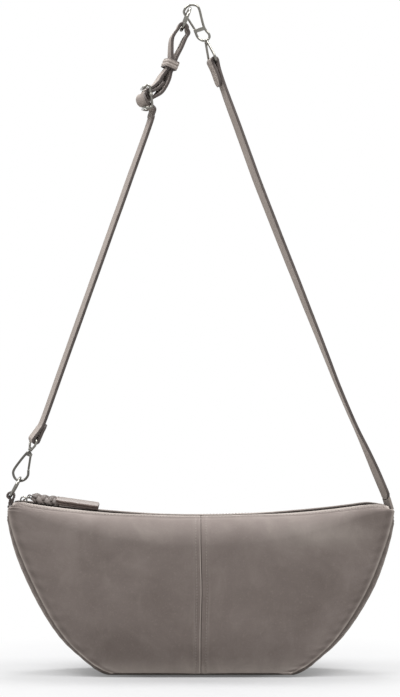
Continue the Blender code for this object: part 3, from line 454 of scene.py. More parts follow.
# the palest colour serves rub and painted highlight; the darkest serves the nap's speckle and painted shade
nubuckLook = dict(mid=(117, 108, 104), deep=(101, 92, 88), pale=(138, 129, 124), rubbedAndHighlight=(172, 164, 157),
    darkNapAndShade=(74, 66, 62))
strapLook = dict(mid=(148, 139, 133), deep=(137, 128, 123), pale=(160, 152, 146), rubbedAndHighlight=(176, 168, 161),
    darkNapAndShade=(92, 84, 79))


def makeNubuck(name, look, seed, fuzz):
    made = Finish(name)
    cloud = made.noise(13, 5, 0.6, 0.6, made.stretched(1, 1, 1.3))
    brushed = made.noise(42, 5, 0.6, 0.5, made.stretched(1, 1, 0.6, (0.1, 0.2, seed)))
    nap = made.noise(1500, 3, 0.7)
    pile = made.noise(420, 2, 0.6, 0.4)
    colour = made.tint(paint(*look["deep"]), look["mid"], cloud, 0.32, 0.68)
    colour = made.tint(colour, look["pale"], brushed, 0.5, 0.8, 0.34)
    colour = made.tint(colour, look["deep"], brushed, 0.44, 0.25, 0.28)
    colour = made.tint(colour, look["darkNapAndShade"], nap, 0.3, 0.7, 0.2 * fuzz)
    colour = made.tint(colour, look["pale"], pile, 0.55, 0.8, 0.25 * fuzz)
    # above 0 the colour turns paler and below 0 darker: rub and wear together with painted highlight and painted
    # shade
    wearAndPaintedLight = made.attribute("wearAndPaintedLight")
    rubbedAndHighlight = made.sum("MULTIPLY", made.span(wearAndPaintedLight, 0, 1), made.span(brushed, 0.2, 0.6, 0.6, 1))
    colour = made.mix(rubbedAndHighlight, colour, paint(*look["rubbedAndHighlight"]))
    colour = made.tint(colour, look["darkNapAndShade"], wearAndPaintedLight, 0, -1)
    rough = made.span(pile, 0.2, 0.8, 0.78, 0.96)
    grain = made.cells(620)
    normal = made.bump(brushed, 0.25, 0.5 * mm)
    normal = made.bump(grain, 0.3 * fuzz, 0.12 * mm, normal)
    normal = made.bump(nap, 0.4 * fuzz, 0.08 * mm, normal)
    return made.done(colour, rough, normal, **{"Sheen Weight": 0.22, "Sheen Roughness": 0.4,
                                               "Sheen Tint": paint(226, 218, 208), "Specular IOR Level": 0.25})


def makeSmoothLeather(name, dark, light, rough, seed):
    made = Finish(name)
    cloud = made.noise(90, 4, 0.6, 0.4)
    grain = made.cells(1500, made.stretched(1, 1, 1, (0, seed, 0)))
    pores = made.noise(2600, 3, 0.6)
    colour = made.tint(paint(*dark), light, cloud, 0.3, 0.7)
    colour = made.tint(colour, dark, pores, 0.55, 0.8, 0.3)
    wearAndPaintedLight = made.attribute("wearAndPaintedLight")
    # paler above 0 and near black below 0: wear together with painted highlight and painted shade
    colour = made.tint(colour, (150, 140, 132), wearAndPaintedLight, 0, 1, 0.8)
    colour = made.tint(colour, (26, 23, 22), wearAndPaintedLight, 0, -1)
    roughness = made.span(cloud, 0.3, 0.7, rough - 0.08, rough + 0.1)
    normal = made.bump(grain, 0.35, 0.1 * mm)
    normal = made.bump(pores, 0.2, 0.04 * mm, normal)
    return made.done(colour, roughness, normal, **{"Specular IOR Level": 0.45})


def makeMetal(name, base, low, high, soft):
    # fine random hairlines and a soft change of polish
    made = Finish(name)
    hairs = made.noise(900, 4, 0.7, 0.2, made.stretched(1, 1, 8, (0.4, 0.3, 0.2)))
    haze = made.noise(160, 3, 0.6)
    colour = made.tint(paint(*base), [level + 14 for level in base], haze, 0.3, 0.7)
    colour = made.tint(colour, [level - 40 for level in base], hairs, 0.6, 0.85, 0.35)
    rough = made.span(haze, 0.3, 0.7, low, high)
    normal = made.bump(hairs, 0.12, 0.02 * mm)
    normal = made.bump(haze, soft, 0.15 * mm, normal)
    return made.done(colour, rough, normal, Metallic=1.0)


def makeThread(name, dark, light):
    made = Finish(name)
    twist = made.wave(1400, made.stretched(1, 1, 1, (0.6, 0.7, 0.5)), "DIAGONAL", 1.5)
    fuzz = made.noise(3000, 2)
    colour = made.tint(paint(*dark), light, twist, 0.2, 0.8)
    colour = made.tint(colour, light, fuzz, 0.4, 0.8, 0.3)
    normal = made.bump(twist, 0.5, 0.06 * mm)
    return made.done(colour, made.span(fuzz, 0.3, 0.7, 0.55, 0.75), normal, **{"Sheen Weight": 0.15})


def makeWoven(name, dark, light, count):
    # warp and weft as two crossed waves
    made = Finish(name)
    warp, weft, upright = [made.wave(count, made.place, axis, 0.4) for axis in "XYZ"]
    weave = made.sum("MULTIPLY", made.sum("ADD", warp, weft), upright)
    patch = made.noise(120, 3, 0.6)
    colour = made.tint(paint(*dark), light, weave, 0.2, 1.4)
    colour = made.tint(colour, dark, patch, 0.35, 0.75, 0.4)
    normal = made.bump(weave, 0.5, 0.12 * mm)
    return made.done(colour, made.span(patch, 0.3, 0.7, 0.75, 0.92), normal, **{"Sheen Weight": 0.2})


nubuck = makeNubuck("brushedNubuck", nubuckLook, 0.3, 1.0)
strapNubuck = makeNubuck("strapNubuck", strapLook, 0.9, 0.4)
edgePaint = makeSmoothLeather("edgePaint", (62, 54, 51), (84, 75, 71), 0.5, 0.7)
pullLeather = makeSmoothLeather("pullLeather", (66, 59, 56), (90, 81, 77), 0.5, 0.2)
pullEdge = makeSmoothLeather("pullEdge", (98, 86, 81), (122, 108, 102), 0.6, 0.4)
blackLeather = makeSmoothLeather("tabLeather", (34, 29, 28), (52, 46, 43), 0.42, 0.5)
innerLeather = makeSmoothLeather("fleshSide", (86, 77, 72), (108, 99, 93), 0.85, 1.1)
nickel = makeMetal("polishedNickel", (122, 120, 114), 0.09, 0.17, 0.05)
darkNickel = makeMetal("shadedNickel", (92, 90, 85), 0.12, 0.2, 0.08)
thread = makeThread("sewingThread", (104, 95, 90), (146, 137, 130))
paleThread = makeThread("strapThread", (150, 141, 134), (186, 178, 170))
zipCloth = makeWoven("zipTape", (44, 39, 37), (72, 65, 62), 1100)
zipNylon = makeSmoothLeather("zipCoil", (52, 46, 44), (74, 67, 64), 0.4, 0.1)
liningCloth = makeWoven("liningTwill", (58, 53, 50), (82, 76, 72), 900)
print("materials made")


# Bag body: every leather panel follows the same half-moon form.
bag = dict(lengths(baseHalf=92, cornerHalf=194, midHeight=157, cornerHeight=160, insetBase=2, insetSide=8,
    seamLift=3, zipArc=1150, cornerDrop=5, cornerRun=14, cornerTuck=2, baseDepth=38, cornerDepth=24,
    bellyDepth=45.5, lipDepth=21, lipGap=8, leather=2.4, gap=0.3, flare=6, cornerRise=2, filledTuck=4.5,
    fallFrom=(176, 160), fallRun=(17, 32.5), fall=(4.5, 8.2), aside=2.4, lean=1.1, leanAt=86, leanOver=30,
    pinchAt=14, pinchOver=13, sideTuck=0.6, endTuck=1.6, capDip=2.2), power=4 / 3, shoulder=0.62, belly=0.4,
    roundShoulder=0.82, slant=1.1, pinch=0.02, capTilt=17, flarePower=2.2, depthPower=1.3)


seamEnd = bag["cornerHalf"] - bag["insetSide"]


def leanBody(x, y, z):
    # the filled body sags a little to the right and rounds off above its base
    pinched = x * (1 - bag["pinch"] * hump(z, bag["pinchAt"], bag["pinchOver"]))
    return pinched + bag["aside"] + bag["lean"] * hump(z, bag["leanAt"], bag["leanOver"]), y, z


def zipHeight(x):
    return bag["midHeight"] + bag["zipArc"] - np.sqrt(bag["zipArc"] ** 2 - x ** 2)


def topHeight(x, filled=False):
    # a filled bag's corners fall away differently left and right
    start, run, drop = seamEnd - bag["cornerRun"], bag["cornerRun"], bag["cornerDrop"]
    if filled:
        side = np.where(np.asarray(x) < 0, 0, 1)
        start, run, drop = [np.array(bag[key])[side] for key in ("fallFrom", "fallRun", "fall")]
    return zipHeight(x) - drop * (np.maximum(0, np.abs(x) - start) / run) ** 2


def riseShares(phi):
    return np.sin(phi) ** bag["power"], 1 - np.maximum(0, np.cos(phi)) ** bag["power"]


def seamPlace(phi):
    across, up = riseShares(phi)
    low = bag["baseHalf"] - bag["insetBase"]
    return low + (seamEnd - low) * across, bag["seamLift"] + (bag["cornerHeight"] - bag["seamLift"]) * up


def gussetPlace(phi):
    across, up = riseShares(phi)
    return bag["baseHalf"] + (bag["cornerHalf"] - bag["baseHalf"]) * across, bag["cornerHeight"] * up


def seamDepth(up):
    return bag["baseDepth"] + (bag["cornerDepth"] - bag["baseDepth"]) * up ** bag["depthPower"]


def evenAngles(count):
    # angles that step evenly along the side seam
    fine = np.linspace(0, math.pi / 2, 2000)
    x, z = seamPlace(fine)
    reach = lengthsAlong(np.stack([x, z, 0 * x], 1))
    return np.interp(np.linspace(0, reach[-1], count), reach, fine)


def formAngles(bodyRows, shoulderRows):
    # seam angles up the body, then shoulder angles over its top
    shoulder = [math.pi / 2 * k / shoulderRows for k in range(1, shoulderRows + 1)]
    phi = np.concatenate([evenAngles(bodyRows), np.full(shoulderRows, math.pi / 2)])
    return phi[:, None], np.array([0.0] * bodyRows + shoulder)[:, None]


def bodyForm(phi, theta, u, low, inset, drop, filled=True):
    # half width share u, seam angle phi, shoulder angle theta: x, depth and height
    # a filled bag's corners flare over the side strip and its shoulder is rounder
    flare = bag["flare"] if filled else 0
    shoulder = bag["roundShoulder"] if filled else bag["shoulder"]
    up = riseShares(phi)[1]
    width = seamPlace(phi)[0] + flare * up ** bag["flarePower"]
    x = u * (width - inset - bag["filledTuck" if filled else "cornerTuck"] * (1 - np.cos(theta)))
    top = topHeight(x, filled) - drop
    endTop = topHeight(np.where(u < 0, -1, 1) * (seamEnd + flare), filled)
    endHeight = bag["cornerHeight"] + (bag["cornerRise"] if filled else 0)
    endShare = (endHeight - bag["seamLift"]) / (endTop - bag["seamLift"])
    start = low + (top - low) * (shoulder + (endShare - shoulder) * u ** 2)
    belly = np.sin(np.minimum(up / bag["belly"], 1) * math.pi / 2)
    middle = bag["baseDepth"] + (bag["bellyDepth"] - bag["baseDepth"]) * belly
    seam = seamDepth(up)
    depth = seam + (middle - seam) * (1 - np.abs(u) ** 3) - inset
    end = bag["lipDepth"] - inset
    slant = bag["slant"] if filled else 1
    rolled = end + (depth - end) * np.maximum(0, np.cos(theta)) ** slant
    height = np.where(theta > 0, start + (top - start) * np.sin(theta) ** slant, low + (start - low) * up)
    return x, np.where(theta > 0, rolled, depth), height


panelLook = dict(lengths(lipEnds=3, sewnEnds=1.5, sewnUntil=12, fadeFrom=20, endsOver=(40, 130),
    leanStarts=(40, 100), leanStops=(165, 182), seamRise=12, middleSag=0.32, smallSag=0.07, calmEdge=34,
    calmDepth=(9, 24), puckerPitch=5.6, insideFrom=(3, 16), grooveDeep=0.6, seamRaised=(1.2, 3),
    allowanceSoft=1.6, sewnDeep=0.22, seamClears=(128, 146), broadSize=75, middleSize=26, smallSize=9,
    wobbleSize=30, seamValley=0.4, allowance=6.6, allowanceRise=0.16, sewnAt=5.0, lipFall=3.0, lipSewn=17.6,
    sag=1.2, pucker=0.5, frontDip=0.7, backRise=0.8, seamHalf=0.2, seamColumns=(0.35, 0.7, 1.0, 1.35, 2.3)),
    bodyRows=72, shoulderRows=30, columns=84, endsLeast=0.35, lipRows=((20.8, 19.2, 6), (18.8, 16.4, 8),
    (15.6, 9.2, 8)), facingFrom=0.1, crowd=0.35, seamSwell=0.12)


# amount, middle and width in millimetres of the soft bands on a panel
panelBands = dict(rim=(0.5, 0, 1.6), rimShade=(-0.25, 5, 2.5), baseRubAndBounce=(0.4, 3, 11), lipGroove=(1, 20.4, 0.8),
    facingSwell=(0.3, 14, 3.4), shoulderDip=(-0.5, 25.5, 2.6), lipPale=(0.5, 11, 5), shoulderRubAndHighlightX=(0.4, 118, 45),
    shoulderRubAndHighlightZ=(1, 141, 12), paleX=(0.1, -60, 50), paleZ=(1, 142, 9), pucker=(1, 4, 7), valley=(1, 0, 0.8),
    sewn=(1, 5, 0.55), seamDark=(-0.6, 0, 0.3), seamPale=(0.9, 1, 0.3), allowancePale=(0.1, 6.6, 1))


def facingEnds(x):
    least = panelLook["endsLeast"]
    return least + (1 - least) * smoothStep(*panelLook["endsOver"], np.abs(x))


def lipReach(depth):
    return np.clip((depth - bag["lipGap"]) / (bag["lipDepth"] - bag["lipGap"]), 0, 1) ** 1.3


def facingLean(x):
    starts, stops = panelLook["leanStarts"], panelLook["leanStops"]
    return smoothStep(*starts, np.abs(x)) * (1 - smoothStep(*stops, np.abs(x)))


def panelGrid(side, leftShare, rightShare):
    look = panelLook
    half = bag["leather"] / 2
    phi, theta = formAngles(look["bodyRows"], look["shoulderRows"])
    # columns crowd towards the centre seam and the side seams
    t = np.linspace(0, 1, look["columns"])
    shares = np.sin(t * math.pi / 2) * look["crowd"] + t ** 1.25 * (1 - look["crowd"])
    fine = np.array(look["seamColumns"]) / bag["cornerHalf"]
    shares = np.unique(np.concatenate([-shares, -fine, fine, shares]))
    shares = shares[(shares >= leftShare) & (shares <= rightShare)]
    u = shares[None, :]
    x, depth, z = bodyForm(phi, theta, u, bag["seamLift"], 0, 0)
    lips = np.concatenate([np.linspace(*rows) for rows in look["lipRows"]]) * mm
    x = np.vstack([x] + [x[-1]] * len(lips))
    z = np.vstack([z] + [z[-1]] * len(lips))
    depth = np.vstack([depth] + [np.full(x.shape[1], lip) for lip in lips])
    lipShare = lipReach(depth)
    overTop = np.vstack([np.sin(theta) ** 6 * np.ones_like(u)] + [np.ones(x.shape[1])] * len(lips))
    z = z - look["lipFall"] * lipShare * overTop * facingEnds(x)
    z = z + overTop * facingLean(x) * (-look["frontDip"] if side < 0 else look["backRise"])
    # the seams are rolled edges, so the sheet stops half a thickness short of them
    edge = np.abs(x).max(axis=1, keepdims=True)
    x = x * (edge - half) / edge
    z = z + half * (1 - smoothStep(0, look["seamRise"], z - bag["seamLift"]))
    if leftShare == 0 or rightShare == 0:
        seam = look["seamHalf"] if leftShare == 0 else -look["seamHalf"]
        x = x + seam * (1 - np.abs(x) / np.abs(x).max(axis=1, keepdims=True))
    return np.stack([x, side * depth, z], 2)


def band(name, value):
    amount, middle, width = panelBands[name]
    return amount * hump(value, middle * mm, width * mm)


def shapePanel(grid, side, centreSeam):
    look = panelLook
    normal = gridNormal(grid) * (1 if side < 0 else -1)
    x, y, z = np.abs(grid[..., 0]), np.abs(grid[..., 1]), grid[..., 2]
    edge = np.maximum(x.max(axis=1, keepdims=True) - x, 0)
    fromSeam = np.minimum(edge, z - bag["seamLift"])
    broad = noiseField(grid, look["broadSize"], 3.1 + side)
    middle = noiseField(grid, look["middleSize"], 8.7 + side)
    small = noiseField(grid, look["smallSize"], 1.9)
    calm = smoothStep(0, look["calmEdge"], fromSeam) * smoothStep(*look["calmDepth"], y)
    move = calm * (look["sag"] * broad + look["middleSag"] * middle) + look["smallSag"] * small
    # short puckers run in from the sewn edge
    reach = lengthsAlong(grid[:, -1 if side < 0 else 0, :])[:, None]
    wobble = noiseField(grid, look["wobbleSize"], 5.5)
    puckers = np.sin(reach / look["puckerPitch"] * math.pi + 3 * wobble)
    move = move + look["pucker"] * puckers * band("pucker", edge) * (0.55 + 0.9 * np.abs(wobble))
    inside = smoothStep(*look["insideFrom"], edge)
    onFacing = z > look["facingFrom"]
    groove = band("lipGroove", y) * onFacing * inside
    move = move - look["grooveDeep"] * groove
    move = move + (band("facingSwell", y) + band("shoulderDip", y) * inside) * mm * onFacing
    # paler on the rolled edge: painted highlight, partly rub; darker a little inside it: painted shade; paler towards
    # the base: painted bounce light from the floor, partly rub
    wearAndPaintedLight = band("rim", edge) + band("rimShade", edge) + band("baseRubAndBounce", z)
    # darker in the groove under the lip: painted shade; paler on the lip top: painted highlight
    wearAndPaintedLight = wearAndPaintedLight - 0.6 * groove + band("lipPale", y) * onFacing
    if side < 0:
        # pale patches across the front shoulder: painted highlight, partly rub
        across = grid[..., 0]
        wearAndPaintedLight = wearAndPaintedLight + band("shoulderRubAndHighlightX", across) * band("shoulderRubAndHighlightZ", z) + band("paleX", across) * band("paleZ", z)
    if centreSeam:
        raised = smoothStep(*look["seamRaised"], x)
        raised = raised * (1 - smoothStep(look["allowance"], look["allowance"] + look["allowanceSoft"], x))
        sewn = band("sewn", x)
        fade = 1 - 0.6 * (y < look["fadeFrom"])
        move = move - look["seamValley"] * band("valley", x)
        move = move + (look["allowanceRise"] * raised - look["sewnDeep"] * sewn) * fade
        lower = 1 - 0.8 * smoothStep(*look["seamClears"], z)
        # a dark line in the seam's valley and a faint one along the stitches: painted shade; a pale line on the left
        # edge of the seam, fading towards the shoulder, and a faint one on the raised allowance: painted highlight
        wearAndPaintedLight = wearAndPaintedLight + band("seamDark", x) + band("seamPale", x) * (grid[..., 0] < 0) * lower
        wearAndPaintedLight = wearAndPaintedLight + band("allowancePale", x) - 0.1 * sewn
    return grid + normal * move[..., None], wearAndPaintedLight


def surfaceLine(outer, normal, pick):
    # for each row or column the place where pick(points) crosses zero, with the leather's normal there
    line, ups = [], []
    for points, ways in zip(outer, normal):
        value = pick(points)
        change = np.nonzero(np.diff(np.sign(value)))[0]
        if len(change) == 0:
            continue
        i = change[0]
        share = value[i] / (value[i] - value[i + 1])
        line.append(points[i] + (points[i + 1] - points[i]) * share)
        ups.append(ways[i])
    return np.array(line), np.array(ups)


def panelPiece(name, node, side, leftShare, rightShare):
    centreSeam = leftShare == 0 or rightShare == 0
    grid, wearAndPaintedLight = shapePanel(panelGrid(side, leftShare, rightShare), side, centreSeam)
    pile = Pile()
    # the edge swells less where both front halves meet
    bulge = (1.0, 1.0, *[panelLook["seamSwell"] if share == 0 else 1.0 for share in (leftShare, rightShare)])
    # the rolled edges come out a little paler: painted highlight, partly rub
    outer, normal = addShell(pile, grid, bag["leather"], flip=side > 0, slots=(0, 0, 1), wearAndPaintedLight=wearAndPaintedLight, edgeWearAndPaintedLight=0.15,
                             bulge=bulge)
    # the zip facing's topstitch
    top = slice(panelLook["bodyRows"] + panelLook["shoulderRows"] - 2, None)
    line, ups = surfaceLine(outer[top].transpose(1, 0, 2), normal[top].transpose(1, 0, 2),
                            lambda p: np.abs(p[:, 1]) - panelLook["lipSewn"])
    addStitches(pile, line, ups, "panel", 2, panelLook["lipEnds"])
    if centreSeam:
        line, ups = surfaceLine(outer, normal, lambda p: np.abs(p[:, 0]) - panelLook["sewnAt"])
        keep = np.abs(line[:, 1]) > panelLook["sewnUntil"]
        addStitches(pile, line[keep], ups[keep], "centreSeam", 2, panelLook["sewnEnds"])
    pile.piece(name, [nubuck, innerLeather, thread], "bag", "nubuck", [node], leanBody)


panelPiece("front_leather_left", "front_panel_left", -1, -1, 0)
panelPiece("front_leather_right", "front_panel_right", -1, 0, 1)
panelPiece("back_leather", "back_panel", 1, -1, 1)
print("panels made")


gussetLook = dict(lengths(topRise=0.5, sideFrom=14, sideTo=2, puckerPitch=6.2, wobbleSize=28, broadSize=40,
    broad=0.5, baseUpTo=6, baseWear=2, sewnIn=4.2, sewnFrom=96, sewnEnds=4, pucker=0.4), flat=0.55,
    sideStations=130, baseStations=60, columns=46, tuckOver=(0.5, 0.85), crowd=0.9)


def gussetStations(side):
    half = bag["leather"] / 2
    look = gussetLook
    seamX = seamEnd - bag["filledTuck"] + bag["flare"]
    top = float(topHeight(side * seamX, True)) - bag["leather"] - 2 * bag["gap"]
    inwards = bag["leather"] + bag["gap"]
    stations = [(seamX, top - half, seamX + look["topRise"], top - half, bag["lipDepth"] - inwards)]
    for phi in evenAngles(look["sideStations"])[::-1]:
        sx, _, sz = bodyForm(phi, np.array(0.0), 1.0, bag["seamLift"], 0, 0)
        gx, gz = gussetPlace(phi)
        if sz > top - 3 * half:
            continue
        up = riseShares(phi)[1]
        gx = gx - bag["sideTuck"] * smoothStep(*look["tuckOver"], up)
        gx = gx - bag["endTuck"] * smoothStep(top - look["sideFrom"], top - look["sideTo"], sz)
        stations.append((sx, sz, gx, min(gz, top - half), seamDepth(up) - inwards))
    for share in np.linspace(1, 0, look["baseStations"])[1:]:
        seam = (bag["baseHalf"] - bag["insetBase"]) * share
        stations.append((seam, bag["seamLift"], bag["baseHalf"] * share, 0, bag["baseDepth"] - inwards))
    return np.array(stations)


def gussetPiece():
    look = gussetLook
    rows = np.vstack([gussetStations(-1)[:-1] * np.array([-1, 1, -1, 1, 1]), gussetStations(1)[::-1]])
    t = np.linspace(-1, 1, look["columns"])
    t = np.sign(t) * np.sin(np.abs(t) * math.pi / 2) ** look["crowd"]
    away = np.abs(t)[None, :]
    full = 1 - (np.maximum(0, away - look["flat"]) / (1 - look["flat"])) ** 2
    x = rows[:, 0:1] + (rows[:, 2:3] - rows[:, 0:1]) * full
    z = rows[:, 1:2] + (rows[:, 3:4] - rows[:, 1:2]) * full
    y = t[None, :] * (rows[:, 4:5] - bag["leather"] / 2)
    grid = np.stack([x, y, z], 2)
    normal = gridNormal(grid)
    reach = lengthsAlong(grid[:, len(t) // 2, :])[:, None]
    off = z > look["baseUpTo"]
    wobble = noiseField(grid, look["wobbleSize"], 2.2)
    puckers = np.sin(reach / look["puckerPitch"] * math.pi + 3 * wobble) * hump(away, 0.9, 0.22)
    move = look["pucker"] * puckers * off + look["broad"] * noiseField(grid, look["broadSize"], 6.1) * off * full
    grid = grid + normal * move[..., None]
    # darker along both long edges and on the rolled edges, in the seam grooves: painted shade; a little paler on the
    # flat middle and on the base
    wearAndPaintedLight = -0.8 * hump(away, 1.0, 0.12) + 0.12 * full * off
    wearAndPaintedLight = np.where(z < look["baseWear"], wearAndPaintedLight + 0.2, wearAndPaintedLight)
    pile = Pile()
    outer, ways = addShell(pile, grid, bag["leather"], slots=(0, 0, 1), wearAndPaintedLight=wearAndPaintedLight, edgeWearAndPaintedLight=-0.6)
    # one row of stitches beside each side seam
    for sign in (-1, 1):
        line, ups = surfaceLine(outer, ways, lambda p: p[:, 1] * sign - np.abs(p[:, 1]).max() + look["sewnIn"])
        for end in (-1, 1):
            part = line[:, 0] * end > look["sewnFrom"]
            addStitches(pile, line[part], ups[part], "panel", 2, look["sewnEnds"])
    pile.piece("side_and_base_leather", [nubuck, innerLeather, thread], "bag", "nubuck", ["gusset"], leanBody)


gussetPiece()
print("gusset made")


# Lining: a thin pouch just inside the leather, and a slip pocket on its back wall.
liningLook = dict(lengths(wrinkle=0.8, wrinkleSize=22, easeOver=20, pocketOff=0.5, thickness=0.6, inset=3.6,
    drop=4.8, pocketBulge=3.5, pocketThickness=0.8), pocketSide=0.3, bodyRows=34, shoulderRows=12, columns=60,
    floorShares=(0.03, 0.35, 0.7), pocketRows=30, pocketColumns=41, pocketFrom=1 / 3, pocketTo=8 / 9,
    pocketNarrow=0.995)
pouchFloor = bag["seamLift"] + bag["leather"] + bag["gap"]


def liningPiece():
    look = liningLook
    phi, theta = formAngles(look["bodyRows"], look["shoulderRows"])
    shares = np.sin(np.linspace(-1, 1, look["columns"]) * math.pi / 2)[None, :]
    x, depth, z = bodyForm(phi, theta, shares, pouchFloor, look["inset"], look["drop"], False)
    z[0] = pouchFloor
    wrinkle = noiseField(np.stack([x, depth, z], 2), look["wrinkleSize"], 4.4)
    ease = look["wrinkle"] * (wrinkle - 0.6) * smoothStep(0, look["easeOver"], z - pouchFloor)
    depth = depth + ease * (1 - np.abs(shares) ** 4)
    ring = np.concatenate([np.stack([x, -depth, z], 2), np.stack([x, depth, z], 2)[:, ::-1]], 1)
    # the floor closes the pouch as a flat patch that shrinks to a line
    rows = np.concatenate([[ring[0] * (1, share, 1) for share in look["floorShares"]], ring], 0)
    cols, count = rows.shape[1], rows.shape[0]
    normal = gridNormal(np.concatenate([rows, rows[:, :1]], 1))
    inner = rows - normal[:, :-1] * look["thickness"]
    back = count * cols
    faces = []
    for r in range(count - 1):
        for c in range(cols):
            low, d = r * cols, (c + 1) % cols
            face = (low + c, low + d, low + cols + d, low + cols + c)
            faces += [face, tuple(corner + back for corner in face[::-1])]
    top = (count - 1) * cols
    for c in range(cols):
        d = (c + 1) % cols
        faces.append((top + c, top + d, top + d + back, top + c + back))
    for start, turn in ((0, 1), (back, -1)):
        for c in range(cols // 2 - 1):
            face = (start + c + 1, start + c, start + cols - 1 - c, start + cols - 2 - c)
            faces.append(face[::turn])
    pile = Pile()
    pile.add(np.concatenate([rows.reshape(-1, 3), inner.reshape(-1, 3)]), faces)
    pile.piece("lining_pouch", [liningCloth], "bag", "lining_cloth", ["lining"], leanBody)


def pocketPiece():
    look = liningLook
    inset = look["inset"] + look["thickness"] + bag["gap"]
    rows = []
    for up in np.linspace(0, 1, look["pocketRows"]):
        phi = math.pi / 2 * (look["pocketFrom"] + (look["pocketTo"] - look["pocketFrom"]) * up)
        side, middle = [np.array([float(v) for v in bodyForm(phi, np.array(0.0), np.array(share), pouchFloor, inset,
                                                             look["drop"], False)])
                        for share in (look["pocketSide"], 0.0)]
        row = []
        for t in np.linspace(-1, 1, look["pocketColumns"]):
            x, y, z = middle + (side - middle) * abs(t)
            swell = look["pocketBulge"] * (1 - t ** 2) * math.sqrt(up) + look["pocketOff"]
            row.append((math.copysign(x, t) * look["pocketNarrow"], y - swell, z))
        rows.append(row)
    pile = Pile()
    outer, ways = addShell(pile, np.array(rows), look["pocketThickness"], share=0.0, steps=4)
    addStitches(pile, outer[-4], ways[-4], "pocket", 1)
    pile.piece("slip_pocket", [liningCloth, thread], "bag", "lining_cloth", ["inner_pocket"], leanBody)


liningPiece()
pocketPiece()
print("lining made")


# Zip: tapes, coils, end caps, slider with its bridge, link and the leather pull.
zipLook = dict(lengths(ripple=0.08, rippleSize=7, tapeLow=0.12, ridgeLow=0.1, plateSoft=0.42, underSoft=0.35,
    sliderPost=(1.2, 2.7, 0.5, 0.3), postSoft=0.15, footRise=0.4, bridgeWide=1.15, bridgeThick=0.72, linkStep=0.6,
    tapeSoft=0.45, ridgeIn=1.3, cordAt=1.75, cord=0.33, coilIn=1, sinkOver=(60, 110), sinkStart=(2.4, 3.6),
    sinkSpare=1.0, sinkMore=0.8, tapeHalf=170, tape=0.9, tapeOuter=9.0, slide=7.2, tapeInner=3.2, coilHalf=171,
    coilRadius=1.0, wire=0.27, pitch=1.25, coilMiddle=1.62, coilReach=1.2, sliderAt=-175, sliderHalf=5,
    sliderWide=4.2, plate=1.2, bridge=3.1, bridgeRise=1.8, link=6.6, linkHalf=3.6, linkWire=0.75, pull=70.5,
    eyeWall=1.1), linkAngle=30, pullAngle=8.2, tapeColumns=9, tapeRows=170, coilSteps=12,
    shield=((-1, 0.72), (-0.9, 0.9), (-0.6, 1), (-0.1, 0.96), (0.4, 0.78), (0.8, 0.66), (0.96, 0.56), (1, 0.4)))


def tapeTop(x):
    return zipHeight(x) - bag["leather"] - bag["gap"]


def zipSink(x, y, side):
    # how far a zip half stays down to slide out below the sunken leather facing
    sunk = panelLook["lipFall"] * lipReach(y + zipLook["slide"]) * facingEnds(x)
    sunk = sunk + facingLean(x) * (panelLook["frontDip"] if side < 0 else -panelLook["backRise"])
    sunk = sunk + zipHeight(x) - topHeight(x - bag["aside"], True)
    spare = zipLook["sinkSpare"] + zipLook["sinkMore"] * smoothStep(*zipLook["sinkOver"], np.abs(x))
    return np.maximum(0, sunk) + spare * smoothStep(*zipLook["sinkStart"], y)


def zipHalf(side, word, phase):
    look, body = zipLook, "zip_" + word
    x = np.linspace(-look["tapeHalf"], look["tapeHalf"], look["tapeRows"])
    y = np.linspace(look["tapeInner"] + look["tapeSoft"], look["tapeOuter"] - look["tapeSoft"], look["tapeColumns"])
    height = tapeTop(x)[:, None] - zipSink(x[:, None], y[None, :], side)
    grid = np.stack([x[:, None] + 0 * y, side * (y[None, :] + 0 * x[:, None]), height], 2)
    ripple = look["ripple"] * np.sin(x / look["rippleSize"])[:, None] * (y[None, :] / look["tapeOuter"])
    grid[..., 2] -= look["tapeLow"] + np.abs(ripple)
    pile = Pile()
    addShell(pile, grid, look["tape"], flip=side < 0, steps=4)
    ridgeAt = look["tapeInner"] + look["ridgeIn"]
    ridge = np.stack([x, 0 * x + side * ridgeAt, tapeTop(x) - zipSink(x, ridgeAt, side) - look["ridgeLow"]], 1)
    addStitches(pile, ridge, np.tile([0, 0, 1.0], (len(x), 1)), "tape", 1)
    pile.piece("zip_tape_" + word + "_woven", [zipCloth, thread], body, "zip_cloth", ["zip_tape_" + word])
    # the coil winds along the arc, and a cord runs inside it
    end = look["coilHalf"] - look["coilIn"]
    steps = np.arange(int(2 * end / look["pitch"]) * look["coilSteps"] + 1) / look["coilSteps"]
    angle = steps * 2 * math.pi + phase
    cx = -end + look["pitch"] * steps
    cy = side * (look["coilMiddle"] + look["coilReach"] * np.cos(angle))
    cz = tapeTop(cx) - look["coilRadius"] + (look["coilRadius"] - look["wire"]) * np.sin(angle)
    cz = cz - zipSink(cx, look["coilMiddle"], side)
    pile = Pile()
    addBar(pile, np.stack([cx, cy, cz], 1), look["wire"], sides=6)
    cordTop = tapeTop(x) - look["coilRadius"] - zipSink(x, look["coilMiddle"], side)
    addBar(pile, np.stack([x, side * look["cordAt"] + 0 * x, cordTop], 1), look["cord"], sides=8, slot=1)
    pile.piece("zip_coil_" + word + "_wound", [zipNylon, thread], body, "polished_metal", ["zip_coil_" + word])


zipHalf(-1, "front", 0.0)
zipHalf(1, "back", math.pi)


capLook = lengths(at=186, half=4.5, high=2.5, soft=0.7, inset=1.6)
capLow = float(topHeight(seamEnd)) - bag["leather"] - bag["gap"]


